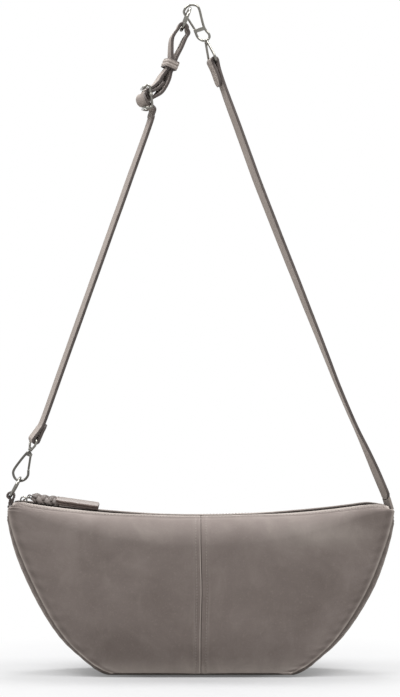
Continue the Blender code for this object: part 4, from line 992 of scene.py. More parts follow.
def capPiece(name, node, side):
    wide, deep, high = capLook["half"], bag["lipGap"] - bag["gap"], capLook["high"]
    place = shift(side * capLook["at"], 0, capLow)
    if side > 0:
        place = place @ shift(0, 0, -bag["capDip"]) @ spin(bag["capTilt"], "Y")
    pile = Pile()
    addBlock(pile, (-wide, -deep, 0), (wide, deep, high), place, soft=capLook["soft"], segments=4)
    x, y = wide - capLook["inset"], deep - capLook["inset"]
    corners = [(-x, -y), (x, -y), (x, y), (-x, y), (-x, -y)]
    up = tuple(facing(place, 0, 0, 1))
    for a, b in zip(corners, corners[1:]):
        line = placed(place, [(*end, high) for end in (a, b)])
        addStitches(pile, line, [up, up], "cap", 1)
    pile.piece(name, [blackLeather, thread], "bag", "dark_leather", [node])


capPiece("zip_cap_left", "end_cap_left", -1)
capPiece("zip_cap_right", "end_cap_right", 1)


def sliderFrame():
    slope = math.asin(zipLook["sliderAt"] / bag["zipArc"])
    place = (zipLook["sliderAt"], 0, float(zipHeight(zipLook["sliderAt"])))
    return Matrix.Translation(place) @ Matrix.Rotation(-slope, 4, "Y")


def sliderPiece():
    look, place = zipLook, sliderFrame()
    coilTop = float(tapeTop(0.0) - zipHeight(0.0))
    topLow = coilTop + bag["gap"]
    baseHigh = coilTop - 2 * look["coilRadius"] - bag["gap"]
    # wide at the mouth end, narrow at the tail, with a waist
    outline = [(x * look["sliderHalf"], y * look["sliderWide"]) for x, y in look["shield"]]
    outline = outline + [(x, -y) for x, y in outline[::-1]]
    pile = Pile()
    addSlab(pile, outline, topLow, topLow + look["plate"], place, soft=look["plateSoft"], segments=4)
    addSlab(pile, outline, baseHigh - look["plate"], baseHigh, place, soft=look["underSoft"], segments=3)
    near, far, half, into = look["sliderPost"]
    near, far = near - look["sliderHalf"], far - look["sliderHalf"]
    addBlock(pile, (near, -half, baseHigh - into), (far, half, topLow + into), place, soft=look["postSoft"])
    foot = topLow + look["footRise"]
    bend = [(x, 0, look["bridgeRise"] + z) for x, z in arc(look["bridge"], 180, 0, 24)]
    arch = placed(place, [(-look["bridge"], 0, foot), *bend, (look["bridge"], 0, foot)])
    addBar(pile, arch, look["bridgeWide"], look["bridgeThick"], sides=20, up=facing(place, 0, 1, 0), roundEnds=False)
    pile.piece("slider_with_bridge", [nickel], "slider", "polished_metal", ["zip_slider"])


def linkFrame():
    place = sliderFrame() @ shift(0, 0, zipLook["bridgeRise"])
    level = math.asin(zipLook["sliderAt"] / bag["zipArc"])
    return place @ Matrix.Rotation(level - math.radians(zipLook["linkAngle"]), 4, "Y")


def roundedLoop(length, half, turn):
    points = []
    for far, side, start in ((0, 1, 180), (1, 1, 90), (1, -1, 0), (0, -1, -90)):
        x, y = (length - turn if far else turn), side * (half - turn)
        points += [(x + dx, y + dy) for dx, dy in arc(turn, start, start - 90, 8)]
    return points


def filledLoop(points, spacing):
    # a closed outline with points added on its long sides
    loop = []
    for (ax, ay), (bx, by) in zip(points, points[1:] + points[:1]):
        steps = max(1, int(math.hypot(bx - ax, by - ay) / spacing))
        loop += [(ax + (bx - ax) * i / steps, ay + (by - ay) * i / steps) for i in range(steps)]
    return loop


def linkPiece():
    place = linkFrame()
    loop = filledLoop(roundedLoop(zipLook["link"], zipLook["linkHalf"], zipLook["linkHalf"] / 3), zipLook["linkStep"])
    pile = Pile()
    addBar(pile, placed(place, [(x, y, 0) for x, y in loop]), zipLook["linkWire"], closed=True,
           up=facing(place, 0, 0, 1))
    pile.piece("pull_link", [nickel], "puller", "polished_metal", ["zip_puller"])


def pullFrame():
    # local X runs down the pull, Y up across it and Z towards the viewer
    far = linkFrame() @ Vector((zipLook["link"], 0, 0))
    stand = spin(90, "X")
    return Matrix.Translation(far) @ spin(zipLook["pullAngle"], "Y") @ stand


pullLook = dict(lengths(layerGap=0.02, headGap=0.3, headWide=0.85, headStep=1.55, endPull=1.2, tailInset=0.8,
    endFrom=7, endAt=6.6, tailRound=3.2, tailNarrow=2.4, tailCrown=0.35, braidFrom=3.2, braidTo=30,
    strandWide=3.0, strandThick=1.0, sway=2.4, weave=1.2, tailFrom=27.5, tailWide=9.8, layer=2.7, braidSag=1.1),
    turns=1.12, lean=68, braidLean=32, headEnds=((6.5, 0.45), (4.8, 0.7), (2.6, 0.95)), braidRows=120,
    tailStarts=0.8)


def pullHead(pile, place):
    # three loops of leather wrap the link
    look = pullLook
    ends = [(x * mm, y * mm) for x, y in look["headEnds"]]
    radius = zipLook["linkWire"] + look["headGap"] + zipLook["eyeWall"] / 2
    loop = ends + arc(radius, 50, 310, 14) + [(x, -y) for x, y in ends[::-1]]
    for level in (-1, 0, 1):
        path = placed(place, [(x, y, level * look["headStep"]) for x, y in loop])
        addBar(pile, path, look["headWide"], zipLook["eyeWall"] / 2, sides=12, up=facing(place, 0, 0, 1))


def pullBraid(pile, place):
    look = pullLook
    for strand in range(3):
        path = []
        for t in np.linspace(0, 1, look["braidRows"]):
            angle = 2 * math.pi * (look["turns"] * t + strand / 3)
            spread = min(1, 0.45 + 4 * t)
            x = look["braidFrom"] + (look["braidTo"] - look["braidFrom"]) * t
            y = look["sway"] * math.sin(angle) * spread - look["braidSag"] * math.sin(math.pi * t)
            path.append((x, y, look["weave"] * math.sin(2 * angle) * spread))
        addBar(pile, placed(place, path), look["strandWide"], look["strandThick"], sides=16,
               up=facing(place, 0, 1, 0), wearAndPaintedLight=0.15)


def pullTail(pile, place):
    # two layers with painted edges, the face turned up to the light
    look, long = pullLook, zipLook["pull"]
    xs = [np.linspace(look["tailFrom"], long - look["endFrom"], 40), np.linspace(long - look["endAt"], long, 18)]
    for layer in (-1, 1):
        rows = []
        for x in np.concatenate(xs):
            share = (x - look["tailFrom"]) / (long - look["tailFrom"])
            start = look["tailStarts"] + (1 - look["tailStarts"]) * float(smoothStep(0, 0.12, share))
            fromEnd = max(0.0, x - (long - look["tailRound"])) / look["tailRound"]
            wide = (look["tailWide"] / 2 - look["tailInset"]) * start
            wide = wide - look["tailNarrow"] * (1 - math.sqrt(max(0, 1 - fromEnd ** 2)))
            row = []
            for t in np.linspace(-1, 1, 13):
                crown = look["tailCrown"] * (1 - t ** 2) if layer > 0 else 0
                z = layer * (look["layer"] / 2 + look["layerGap"]) + crown
                row.append((x - look["endPull"] * (share > 0.99), wide * t, z))
            rows.append([tuple(point) for point in placed(place, row)])
        grid = np.array(rows)
        # the upper layer is paler and the lower one darker: painted highlight and painted shade
        wearAndPaintedLight = np.full(grid.shape[:2], 0.35 if layer > 0 else -0.2)
        outer, ways = addShell(pile, grid, look["layer"], share=0.5, slots=(0, 1, 0), wearAndPaintedLight=wearAndPaintedLight, edgeWearAndPaintedLight=0.1,
                               bulge=0.55, flip=layer < 0)
        if layer > 0:
            for column in (1, 11):
                addStitches(pile, outer[2:-9, column], ways[2:-9, column], "pull", 2)


def pullPiece():
    place = pullFrame()
    pile = Pile()
    pullHead(pile, place)
    pullBraid(pile, place @ spin(-pullLook["braidLean"], "X"))
    pullTail(pile, place @ spin(-pullLook["lean"], "X"))
    pile.piece("braided_pull", [pullLeather, pullEdge, thread], "pull", "dark_leather", ["leather_pull"])


sliderPiece()
linkPiece()
pullPiece()
print("zip made")


# Ring and tab at the left corner.
ringLook = dict(lengths(tabStep=0.6, tabEdge=0.5, tabLift=0.45, corner=10.35, strap=12.0, wire=1.5, tabWide=9,
    tab=2.0, tabAt=-185, tabRise=8.6, tabLean=-2.8, tabOut=2.6), tilt=27.6, neckAt=0.36)
capTop = capLow + capLook["high"] + bag["gap"]
tabRoot = Vector((ringLook["tabAt"], 0, capTop))
ringFoot = tabRoot + Vector((ringLook["tabLean"], 0, ringLook["tabRise"]))
ringAlong = facing(spin(ringLook["tilt"], "Y"), 0, 0, 1)
ringTop = ringFoot + ringAlong * 2 * ringLook["corner"]


def ringPiece(name, node, body, radius, matrix):
    points = [(0, y, radius + z) for z, y in arc(radius, 0, 357, 119)]
    pile = Pile()
    addBar(pile, placed(matrix, points), ringLook["wire"], sides=24, closed=True)
    pile.piece(name, [nickel], body, "polished_metal", [node])


ringPiece("corner_wire_ring", "bag_ring", "corner_ring", ringLook["corner"],
          Matrix.Translation(ringFoot) @ spin(ringLook["tilt"], "Y"))


def tabPiece():
    look, half = ringLook, ringLook["tabWide"] / 2
    sag = look["corner"] - math.sqrt(look["corner"] ** 2 - half ** 2)
    wrap = look["wire"] + bag["gap"] + look["tab"] / 2 + sag / 2
    middle = ringFoot + ringAlong * (sag / 2)
    root = Vector((look["tab"] / 2 + bag["gap"], 0, 0))
    rise, lift = Vector((0, 0, look["tab"])), Vector((0, 0, look["tabLift"]))
    neck = ringFoot.lerp(tabRoot, look["neckAt"])
    foot = tabRoot - Vector((look["tabOut"], 0, 0))
    points = [foot - root + lift, foot - root + rise, neck - root]
    points += [middle + Vector((x, 0, z)) for x, z in arc(wrap, 195, -15, 10)]
    points += [neck + root, foot + root + rise, foot + root + lift]
    line = smoothLine(points, look["tabStep"], 4)
    ys = np.linspace(look["tabEdge"] - half, half - look["tabEdge"], 11)
    grid = np.stack([line[:, 0:1] + 0 * ys, 0 * line[:, 0:1] + ys, line[:, 2:3] + 0 * ys], 2)
    pile = Pile()
    outer, ways = addShell(pile, grid, look["tab"], share=0.5, flip=True, slots=(0, 1, 0), bulge=0.55, layered=True)
    for column in (1, 9):
        addStitches(pile, outer[2:-2, column], ways[2:-2, column], "tab", 2)
    pile.piece("ring_tab_leather", [blackLeather, edgePaint, thread], "bag", "dark_leather", ["ring_tab"])


tabPiece()


# Clips: a bent wire frame with its block and stem, a sprung gate, the screw it turns on, and a swivel eye.
clipLook = lengths(step=0.8, blockSoft=0.25, webSoft=0.1, pinRim=0.12, floorRim=0.05, slotGap=0.3, slotDeep=0.2,
    webIn=0.1, webBack=1.6, pinLong=0.3, screwHead=1.15, screwSlot=0.17, screwLow=0.02, screwHigh=0.42,
    screwFloor=0.22, groove=0.18, grooveFrom=0.25, grooveTo=0.1, rim=0.3, rimCut=0.09, wire=1.25, seat=0.4,
    pin=0.55, gateThick=0.8, gate=1.1, block=1.8, stem=0.9, stemLength=4.5, head=1.7, headHigh=0.9, barrel=2.3,
    barrelLength=2.6, eye=1.2, eyeHalf=9.6, play=0.1)
lowerClip = dict(lengths(length=30.4, width=15.1, eye=14), tilt=21.1, yaw=20,
    frame=((0.42, 0.262), (0.26, 0.351), (0.105, 0.258), (0, 0), (0.01, -0.334), (0.125, -0.58), (0.283, -0.645),
    (0.625, -0.47), (0.92, -0.265), (0.982, -0.175), (0.985, -0.06), (0.945, 0.03)),
    gate=((0.90, 0.045), (0.469, 0.236)), block=((0.86, -0.24), (0.968, 0.13)), seat=3, stem=(0.99, -0.11),
    way=(-0.053, 0, -0.998))
upperClip = dict(lengths(length=38.0, width=16.6, eye=22.5), tilt=161.5, yaw=-19,
    frame=((0.235, 0.60), (0.16, 0.655), (0.088, 0.640), (0.01, 0.446), (-0.02, 0.21), (0, 0), (0.06, -0.207),
    (0.168, -0.277), (0.40, -0.235), (0.63, -0.205), (0.75, -0.253), (0.87, -0.355), (0.957, -0.313),
    (1.0, -0.12), (0.98, 0.115), (0.895, 0.307), (0.79, 0.375), (0.715, 0.365)),
    gate=((0.665, 0.350), (0.273, 0.572)), block=((0.635, -0.20), (0.725, 0.46)), seat=4, stem=(1.0, -0.06),
    way=(-0.12, 0, 1))


def clipPoint(clip, shares):
    return Vector((shares[1] * clip["width"], 0, shares[0] * clip["length"]))


def clipFrame(clip, ringEnd):
    turned = spin(clip["tilt"], "Y")
    reach = ringLook["wire"] + clipLook["wire"] + clipLook["seat"]
    seat = clipPoint(clip, clip["frame"][clip["seat"]])
    return Matrix.Translation(ringEnd + Vector(clip["way"]).normalized() * reach - (turned @ seat)) @ turned


def softRod(radius, length, edge):
    # the profile of a short round rod with rounded rims
    rim = [(radius - edge + edge * math.sin(a), edge - edge * math.cos(a)) for a in np.radians([0, 30, 60, 90])]
    return rim + [(r, length - h) for r, h in rim[::-1]]


def clipWire(pile, clip, place):
    look = clipLook
    outline = smoothLine([clipPoint(clip, shares) for shares in clip["frame"]], look["step"], 6)
    addBar(pile, placed(place, outline), look["wire"], sides=22, up=facing(place, 0, 1, 0))
    low, high = [clipPoint(clip, shares) for shares in clip["block"]]
    pivot = clipPoint(clip, clip["gate"][0])
    # two cheeks with the gate's slot between them, joined behind the pivot
    slot = look["gateThick"] + look["slotGap"]
    for side in (-1, 1):
        near, far = sorted((side * slot, side * look["block"]))
        addBlock(pile, (low.x, near, low.z), (high.x, far, high.z), place, look["blockSoft"])
    web, deep = look["webIn"], slot + look["slotDeep"]
    addBlock(pile, (low.x + web, -deep, low.z + web), (min(pivot.x - look["webBack"], high.x), deep, high.z - web),
             place, look["webSoft"])
    stem = place @ Matrix.Translation(clipPoint(clip, clip["stem"]))
    shank = look["stemLength"] + look["headHigh"] / 2
    addTurned(pile, [(look["stem"], -look["slotDeep"]), (look["stem"], shank)], stem, 24)
    addTurned(pile, softRod(look["head"], look["headHigh"], look["rim"]), stem @ shift(0, 0, look["stemLength"]))


def clipScrew(pile, pivot):
    # a shank with a slotted head on the front face
    look = clipLook
    deep, head = look["block"], look["screwHead"]
    bore = pivot @ spin(90, "X")
    shank = softRod(look["pin"], 2 * deep + look["pinLong"], look["pinRim"])
    addTurned(pile, shank, bore @ shift(0, 0, -deep - look["pinLong"] / 2), 20)
    first = math.degrees(math.asin(look["screwSlot"] / head))
    for side in (-1, 1):
        moon = [(x, side * y) for x, y in arc(head, first, 180 - first, 14)]
        addSlab(pile, moon, deep + look["screwLow"], deep + look["screwHigh"], bore @ Matrix.Rotation(0.5, 4, "Z"),
                look["webSoft"])
    floor = softRod(head, look["screwFloor"], look["floorRim"])
    addTurned(pile, floor, bore @ shift(0, 0, deep + look["screwLow"] / 2), 24)


def clipEye(pile, long, place):
    # a barrel on the stem, and a wide wire loop for the strap
    look = clipLook
    big, tall, wire, half = look["barrel"], look["barrelLength"], look["eye"], look["eyeHalf"]
    barrelLow = look["stemLength"] - bag["gap"] - tall
    start = barrelLow + tall / 2
    reach = big - wire / 2
    turn = wire * 2
    side = [(0, reach, start), (0, reach + wire, start), (0, half - turn / 3, long - turn * 2.6),
            (0, half, long - turn * 1.9), (0, half, long - turn * 0.7), (0, half - turn * 0.3, long - turn * 0.2),
            (0, half - turn, long)]
    line = smoothLine(side + [(x, -y, z) for x, y, z in side[::-1]], look["step"], 5)
    addBar(pile, placed(place, line), wire, sides=20, up=facing(place, 1, 0, 0), roundEnds=False)
    hole = look["stem"] + look["play"]
    rim, cut, small = look["rim"], look["rimCut"], big - look["groove"]
    lower = [(hole, 0), (big - rim, 0), (big - cut, cut), (big, rim), (big, tall / 2 - look["grooveFrom"]),
             (small, tall / 2 - look["grooveTo"])]
    ring = lower + [(radius, tall - height) for radius, height in lower[::-1]]
    addTurned(pile, ring, place @ shift(0, 0, barrelLow), 32, ring=True)


def clipPieces(word, clip, ringEnd):
    place = clipFrame(clip, ringEnd)
    metal = nickel if word == "upper" else darkNickel
    pile = Pile()
    clipWire(pile, clip, place)
    pile.piece(word + "_clip_wire", [metal], word + "_clip", "polished_metal", [word + "_clip_frame"])
    pivot, tip = [clipPoint(clip, shares) for shares in clip["gate"]]
    pile = Pile()
    gate = placed(place, [pivot.lerp(tip, t) for t in np.linspace(0, 1, 20)])
    addBar(pile, gate, clipLook["gateThick"], clipLook["gate"], sides=24, up=facing(place, 0, 1, 0))
    pile.piece(word + "_clip_sprung_gate", [metal], word + "_gate", "polished_metal", [word + "_clip_gate"])
    pile = Pile()
    clipScrew(pile, place @ Matrix.Translation(pivot))
    pile.piece(word + "_clip_screw", [nickel], word + "_clip", "polished_metal", [word + "_clip_pin"])
    pile = Pile()
    eyePlace = place @ Matrix.Translation(clipPoint(clip, clip["stem"])) @ spin(clip["yaw"], "Z")
    clipEye(pile, clip["eye"], eyePlace)
    pile.piece(word + "_swivel_eye", [nickel], "strap", "polished_metal", [word + "_clip_eye"])
    return eyePlace @ shift(0, 0, clip["eye"])


# Strap. Its route repeats the real one: fold at the lower eye, straight run, buckle, loop and tail.
strapSize = dict(lengths(step=2.4, leastHalf=0.3, sewnStep=1.2, leftBox=15, rightBox=21, tailSewn=(12, 3),
    lowerRound=6.5, tailRound=3.5, upperRound=7, waveSize=32, wave=0.16, wearSize=24, boxFrom=4, boxHalf=4.6,
    width=15, thick=3.0, play=0.3, lowerFlap=20, lowerLean=3.3, upperFlap=27), mainYaw=21, rootYaw=24, bulge=0.6,
    columns=(0, 0.4, 0.66, 0.74, 0.8, 0.86, 0.93, 1))
crown = dict(lengths(railStep=1, knobRim=0.45, keeperStep=0.7, bow=0.375, knob=1.9, knobHigh=1.5, keeperRound=2.3,
    keeperRidge=0.28, keeperSoft=0.75, at=(-48.8, 0, 576.2), loop=67.2, wire=1.25, half=10, keeperLength=9,
    keeperWall=1.8), tilt=-7.4, yaw=8, ringTilt=21, under=((-0.046, -0.387), (-0.019, -0.300), (0.017, -0.216),
    (-0.010, -0.168)), bulgeAt=(-0.088, -0.051), bulge=0.082, up=((-0.054, 0.080), (0.000, 0.099), (0.060, 0.128),
    (0.143, 0.193), (0.207, 0.272), (0.306, 0.372), (0.3805, 0.501), (0.396, 0.610), (0.440, 0.815)),
    down=((0.690, 0.855), (0.632, 0.786), (0.548, 0.653), (0.455, 0.524), (0.396, 0.425), (0.329, 0.315),
    (0.277, 0.199), (0.202, 0.089), (0.125, 0.010)), tail=((0.060, 0.070), (0.122, 0.098), (0.185, 0.163),
    (0.207, 0.197)), rail=((-0.116, -0.176), (-0.040, -0.190), (0, -0.150), (0, 0), (0, 0.110), (-0.030, 0.145),
    (-0.092, 0.122)), keeper=(0.366, 0.425), keeperLean=30, ringSeat=(0.598, 0.915), keeperTurn=10,
    underTurns=(13, 14, 15, 17), bulgeTurns=(20, 27, 31, 33, 33, 30, 24, 18, 14),
    upTurns=(10, 9, 11, 13, 14, 12, 9, 7, 3), downTurns=(3, 6, 9, 12, 15, 19, 23, 25, 22),
    tailTurns=(12, 18, 20, 18), topEase=0.25)
crownFrame = shift(*crown["at"]) @ spin(crown["tilt"], "Y") @ spin(crown["yaw"], "Z")


def crownPoint(shares):
    return Vector((shares[0] * crown["loop"], 0, shares[1] * crown["loop"]))


def crownPoints(part):
    return [crownPoint(shares) for shares in crown[part]]


ringSeat = Matrix.Translation(crownPoint(crown["ringSeat"])) @ spin(crown["ringTilt"] - crown["tilt"], "Y")


def arcPoints(centre, radius, start, end, steps):
    return [centre + Vector((x, 0, z)) for x, z in arc(radius, start, end, steps)]


def loopTop():
    radius, half = ringLook["strap"], strapSize["width"] / 2
    sag = radius - math.sqrt(radius ** 2 - half ** 2)
    near = ringLook["wire"] + strapSize["thick"] / 2 + 3 * strapSize["play"]
    points = [ringSeat @ Vector((-near, 0, 0))]
    for angle in np.radians(np.linspace(-90, 90, 7)):
        across = math.sin(angle) * (1 + crown["topEase"] * max(0, math.sin(angle)))
        points.append(ringSeat @ Vector((near * across, 0, sag + near * math.cos(angle))))
    return points


def crownRoute():
    # places of the strap from the buckle over the top ring and back to its bar, with the way its width points
    bulge = arcPoints(crownPoint(crown["bulgeAt"]), crown["bulge"] * crown["loop"], -75, -270, 8)
    wrap = crown["wire"] + 2 * strapSize["play"] + strapSize["thick"] / 2
    roundBar = arcPoints(Vector((0, 0, 0)), wrap, -60, -285, 9)
    parts = [(crownPoints("under"), crown["underTurns"]), (bulge, crown["bulgeTurns"]),
             (crownPoints("up"), crown["upTurns"]), (loopTop(), (0,) * 8),
             (crownPoints("down"), crown["downTurns"]), (roundBar, (0,) * 10),
             (crownPoints("tail"), crown["tailTurns"])]
    route = []
    for places, turns in parts:
        for place, degrees in zip(places, turns):
            turn = spin(degrees, "Z").to_3x3()
            route.append((turn @ place if places is bulge else place, turn @ Vector((0, -1, 0))))
    return route


def foldRoute(flap, side, lean=0.0):
    wrap = clipLook["eye"] + strapSize["play"] + strapSize["thick"] / 2
    close = (strapSize["thick"] + strapSize["play"]) / 2
    right = [(close * 1.2, wrap * 2.6), (close, flap * 0.55), (close, flap)]
    left = [(-x, z) for x, z in right[::-1]]
    turned = [(p.x, p.z) for p in arcPoints(Vector((0, 0, 0)), wrap, 165, 375, 9)]
    return [Vector((x * side + lean * max(0, z) / flap, 0, z)) for x, z in left + turned + right]


def widthWay(along, yaw):
    across = Vector((along.z, 0, -along.x)).normalized()
    return across * math.sin(math.radians(yaw)) - Vector((0, 1, 0)) * math.cos(math.radians(yaw))


class Ribbon:
    # a strap through (place, width direction, half width) stations
    def __init__(self, stations):
        rows = np.array([(*place, *side.normalized(), half) for place, side, half in stations])
        self.line = smoothLine(rows, strapSize["step"], 4)
        self.reach = lengthsAlong(self.line)

    def roundEnd(self, atStart, radius):
        total = self.reach[-1]
        away = self.reach if atStart else total - self.reach
        self.line = self.line[away > radius * 0.06]
        self.reach = lengthsAlong(self.line)
        away = self.reach + radius * 0.06 if atStart else self.reach[-1] + radius * 0.06 - self.reach
        past = np.clip(1 - away / radius, 0, 1)
        self.line[:, 6] = self.line[:, 6] * (0.45 + 0.55 * np.sqrt(1 - past ** 2))

    def build(self, pile, slots, edgeWearAndPaintedLight=0.0):
        size = strapSize
        place, self.side = self.line[:, :3], unit(self.line[:, 3:6])
        edge = size["thick"] / 2 * size["bulge"]
        half = np.maximum(self.line[:, 6] - edge, size["leastHalf"])
        right = size["columns"]
        ts = np.array([-t for t in right[:0:-1]] + list(right))
        grid = place[:, None, :] + self.side[:, None, :] * (ts[None, :, None] * half[:, None, None])
        wave = noiseField(grid, size["waveSize"], 7.3) * size["wave"]
        grid = grid + gridNormal(grid) * wave[..., None]
        # pale rims with a dark crease inside them
        wearAndPaintedLight = 0.35 * hump(np.abs(ts), 1.0, 0.1) - 0.55 * hump(np.abs(ts), 0.8, 0.045)
        wearAndPaintedLight = wearAndPaintedLight[None, :] + 0.06 * noiseField(grid, size["wearSize"], 2.7)
        self.outer, self.normal = addShell(pile, grid, size["thick"], share=0.5, slots=slots, wearAndPaintedLight=wearAndPaintedLight,
                                           edgeWearAndPaintedLight=edgeWearAndPaintedLight, bulge=size["bulge"], layered=True)

    def onFace(self, along, across, face):
        # a point on the leather, by distance from the start and from the middle line
        i = int(np.searchsorted(self.reach, along))
        i = min(max(i, 1), len(self.reach) - 1)
        share = (along - self.reach[i - 1]) / max(self.reach[i] - self.reach[i - 1], 1e-9)
        middle = self.outer.shape[1] // 2
        place = self.outer[i - 1, middle] * (1 - share) + self.outer[i, middle] * share
        normal = self.normal[i, middle]
        if face < 0:
            place = place - normal * strapSize["thick"]
        return place + self.side[i] * across, normal * face


def sewnRun(pile, ribbon, points, face):
    # stitches between (along, across) points on one face of a strap
    for (a, b), (c, d) in zip(points, points[1:]):
        steps = max(2, int(math.hypot(c - a, d - b) / strapSize["sewnStep"]))
        line, ups = [], []
        for i in range(steps + 1):
            place, up = ribbon.onFace(a + (c - a) * i / steps, b + (d - b) * i / steps, face)
            line.append(place)
            ups.append(up)
        addStitches(pile, line, ups, "strap", 2)


def foldStations(bar, flap, lean=0.0):
    side = -facing(bar, 0, 1, 0)
    return [(place, side, strapSize["width"] / 2) for place in placed(bar, foldRoute(flap, -1, lean))]


def strapPiece(ribbon, word):
    # the strap's leather, with a sewn and crossed box at its lower or upper eye
    pile, boxEnd = Pile(), strapSize[word + "Box"]
    ribbon.build(pile, (0, 1, 0), edgeWearAndPaintedLight=-0.1)
    near, half = strapSize["boxFrom"], strapSize["boxHalf"]
    box = [(near, -half), (boxEnd, -half), (boxEnd, half), (near, half), (near, -half), (boxEnd, half)]
    for face in (-1, 1):
        sewnRun(pile, ribbon, box, face)
        sewnRun(pile, ribbon, [(near, half), (boxEnd, -half)], face)
    if word == "left":
        total = ribbon.reach[-1]
        for across in (-half, half):
            for face in (-1, 1):
                sewnRun(pile, ribbon, [(total - part, across) for part in strapSize["tailSewn"]], face)
    finishes = [strapNubuck, edgePaint, paleThread]
    pile.piece("strap_leather_" + word, finishes, "strap", "nubuck", ["strap_" + word])


def strapLeft(bar):
    stations = foldStations(bar, strapSize["lowerFlap"], strapSize["lowerLean"])
    start, foldSide, half = stations[-1]
    top = [(crownFrame @ place, crownFrame.to_3x3() @ side) for place, side in crownRoute()]
    along = top[0][0] - start
    mainSide = widthWay(along, strapSize["mainYaw"])
    for i in range(1, 8):
        share = i / 8
        near = foldSide if share < 0.5 else top[0][1]
        ease = min(1, 4 * min(share, 1 - share))
        stations.append((start + along * share, near.lerp(mainSide, ease), half))
    ribbon = Ribbon(stations + [(place, side, half) for place, side in top])
    ribbon.roundEnd(True, strapSize["lowerRound"])
    ribbon.roundEnd(False, strapSize["tailRound"])
    strapPiece(ribbon, "left")


lowerBar = clipPieces("lower", lowerClip, ringTop)
strapLeft(lowerBar)
print("left strap made")


# Slide buckle, a bowed wire frame with a centre bar, and the keeper band above it.
def bucklePiece():
    half, wire = crown["half"], crown["wire"]
    line = smoothLine(crownPoints("rail"), crown["railStep"], 5)
    rails = [Vector((x, -half, z)) for x, _, z in line]
    path = rails + [Vector((point.x, half, point.z)) for point in rails[::-1]]
    # the two end bars bow outwards between the rails
    bowed = []
    for point, after in zip(path, path[1:] + path[:1]):
        bowed.append(point)
        if (after - point).length > half / 2:
            out = -crown["bow"] * (1 if point.x < -crown["railStep"] * 2 else 0.6)
            for t in np.linspace(0, 1, 26)[1:-1]:
                bowed.append(point.lerp(after, t) + Vector((out * (1 - abs(2 * t - 1) ** 6), 0, 0)))
    pile = Pile()
    addBar(pile, placed(crownFrame, bowed), wire, sides=20, closed=True)
    reach = half + wire * 1.3
    bar = placed(crownFrame, [(0, y, 0) for y in np.linspace(-reach, reach, 24)])
    addBar(pile, bar, wire, sides=22)
    knob, tall = crown["knob"], crown["knobHigh"]
    for y in (-reach, reach):
        stand = crownFrame @ shift(0, y, 0) @ spin(90, "X") @ shift(0, 0, -tall / 2)
        addTurned(pile, softRod(knob, tall, crown["knobRim"]), stand)
    pile.piece("slide_buckle", [nickel], "strap", "polished_metal", ["buckle_frame"])


def keeperPiece():
    wall, radius = crown["keeperWall"], crown["keeperRound"]
    place = (crownFrame @ Matrix.Translation(crownPoint(crown["keeper"])) @ spin(crown["keeperLean"], "Y")
             @ spin(crown["keeperTurn"], "Z"))
    x = strapSize["thick"] + strapSize["play"] * 5 + wall - radius
    y = strapSize["width"] / 2 + strapSize["play"] * 3 + wall - radius
    outline = []
    for cx, cy, start in ((x, y, 0), (-x, y, 90), (-x, -y, 180), (x, -y, 270)):
        outline += [(cx + dx, cy + dy) for dx, dy in arc(radius, start, start + 90, 8)]
    loop = filledLoop(outline, crown["keeperStep"])
    half = crown["keeperLength"] / 2 - crown["keeperSoft"]
    zs = np.linspace(-half, half, 17)
    grid = np.array([[tuple(place @ Vector((px, py, z))) for z in zs] for px, py in loop])
    normal = gridNormal(grid, loop=True)
    out = np.sign((normal * (grid - np.array(tuple(place.translation)))).sum(-1).mean())
    # two ridges with a groove between them
    share = zs / half
    away = np.abs(share)
    ridge = hump(away, 0.42, 0.3) - 0.9 * hump(share, 0, 0.13) - 0.8 * hump(away, 0.8, 0.1)
    grid = grid + normal * out * (crown["keeperRidge"] * ridge)[None, :, None]
    # paler on the ridges, darker in the groove and towards the ends: painted highlight and painted shade
    wearAndPaintedLight = 0.25 * hump(away, 0.42, 0.25) - 0.6 * hump(share, 0, 0.12) - 0.3 * hump(away, 0.8, 0.1)
    pile = Pile()
    outer, ways = addShell(pile, grid, wall, loop=True, flip=out < 0, slots=(0, 1, 1), bulge=0.8,
                           wearAndPaintedLight=np.tile(wearAndPaintedLight, (len(loop), 1)), edgeWearAndPaintedLight=-0.1)
    for column in (2, 14):
        line, ups = [np.vstack([rows[:, column], rows[:1, column]]) for rows in (outer, ways)]
        addStitches(pile, line, ups, "cap", 2)
    pile.piece("keeper_band", [strapNubuck, edgePaint, paleThread], "keeper", "nubuck", ["strap_keeper"])


bucklePiece()
keeperPiece()


strapRing = crownFrame @ ringSeat
ringPiece("strap_wire_ring", "strap_ring", "top_ring", ringLook["strap"], strapRing)
upperBar = clipPieces("upper", upperClip, strapRing @ Vector((0, 0, 2 * ringLook["strap"])))

# Right strap, from the upper eye down to its sewn anchor.
rightRun = dict(lengths(anchorSoft=0.5, sewnUp=4, sewnAcross=(-5, 5), anchorDeep=6, anchorHalf=6.5, hollow=8.2,
    at=186, anchorHigh=4.7, swingPlay=0.5), shares=((0.05, 0.0016, 0.9), (0.107, 0.0032, 0.95),
    (0.18, 0.0055, 0.95), (0.254, 0.0073, 0.95), (0.37, 0.0081, 0.9), (0.5, 0.0082, 0.8), (0.62, 0.0084, 0.6),
    (0.72, 0.0088, 0.4), (0.79, 0.0078, 0.33), (0.846, 0.0055, 0.33), (0.9, 0.0026, 0.7), (0.95, 0.0011, 1)),
    foot=(0, 0.35, 0.62, 0.82, 0.94), footFull=2.6, footTilt=17)
rootHeight = rightRun["anchorHigh"] + rightRun["swingPlay"] + strapSize["width"] / 2
strapRoot = Vector((rightRun["at"], 0, capTop + rootHeight))


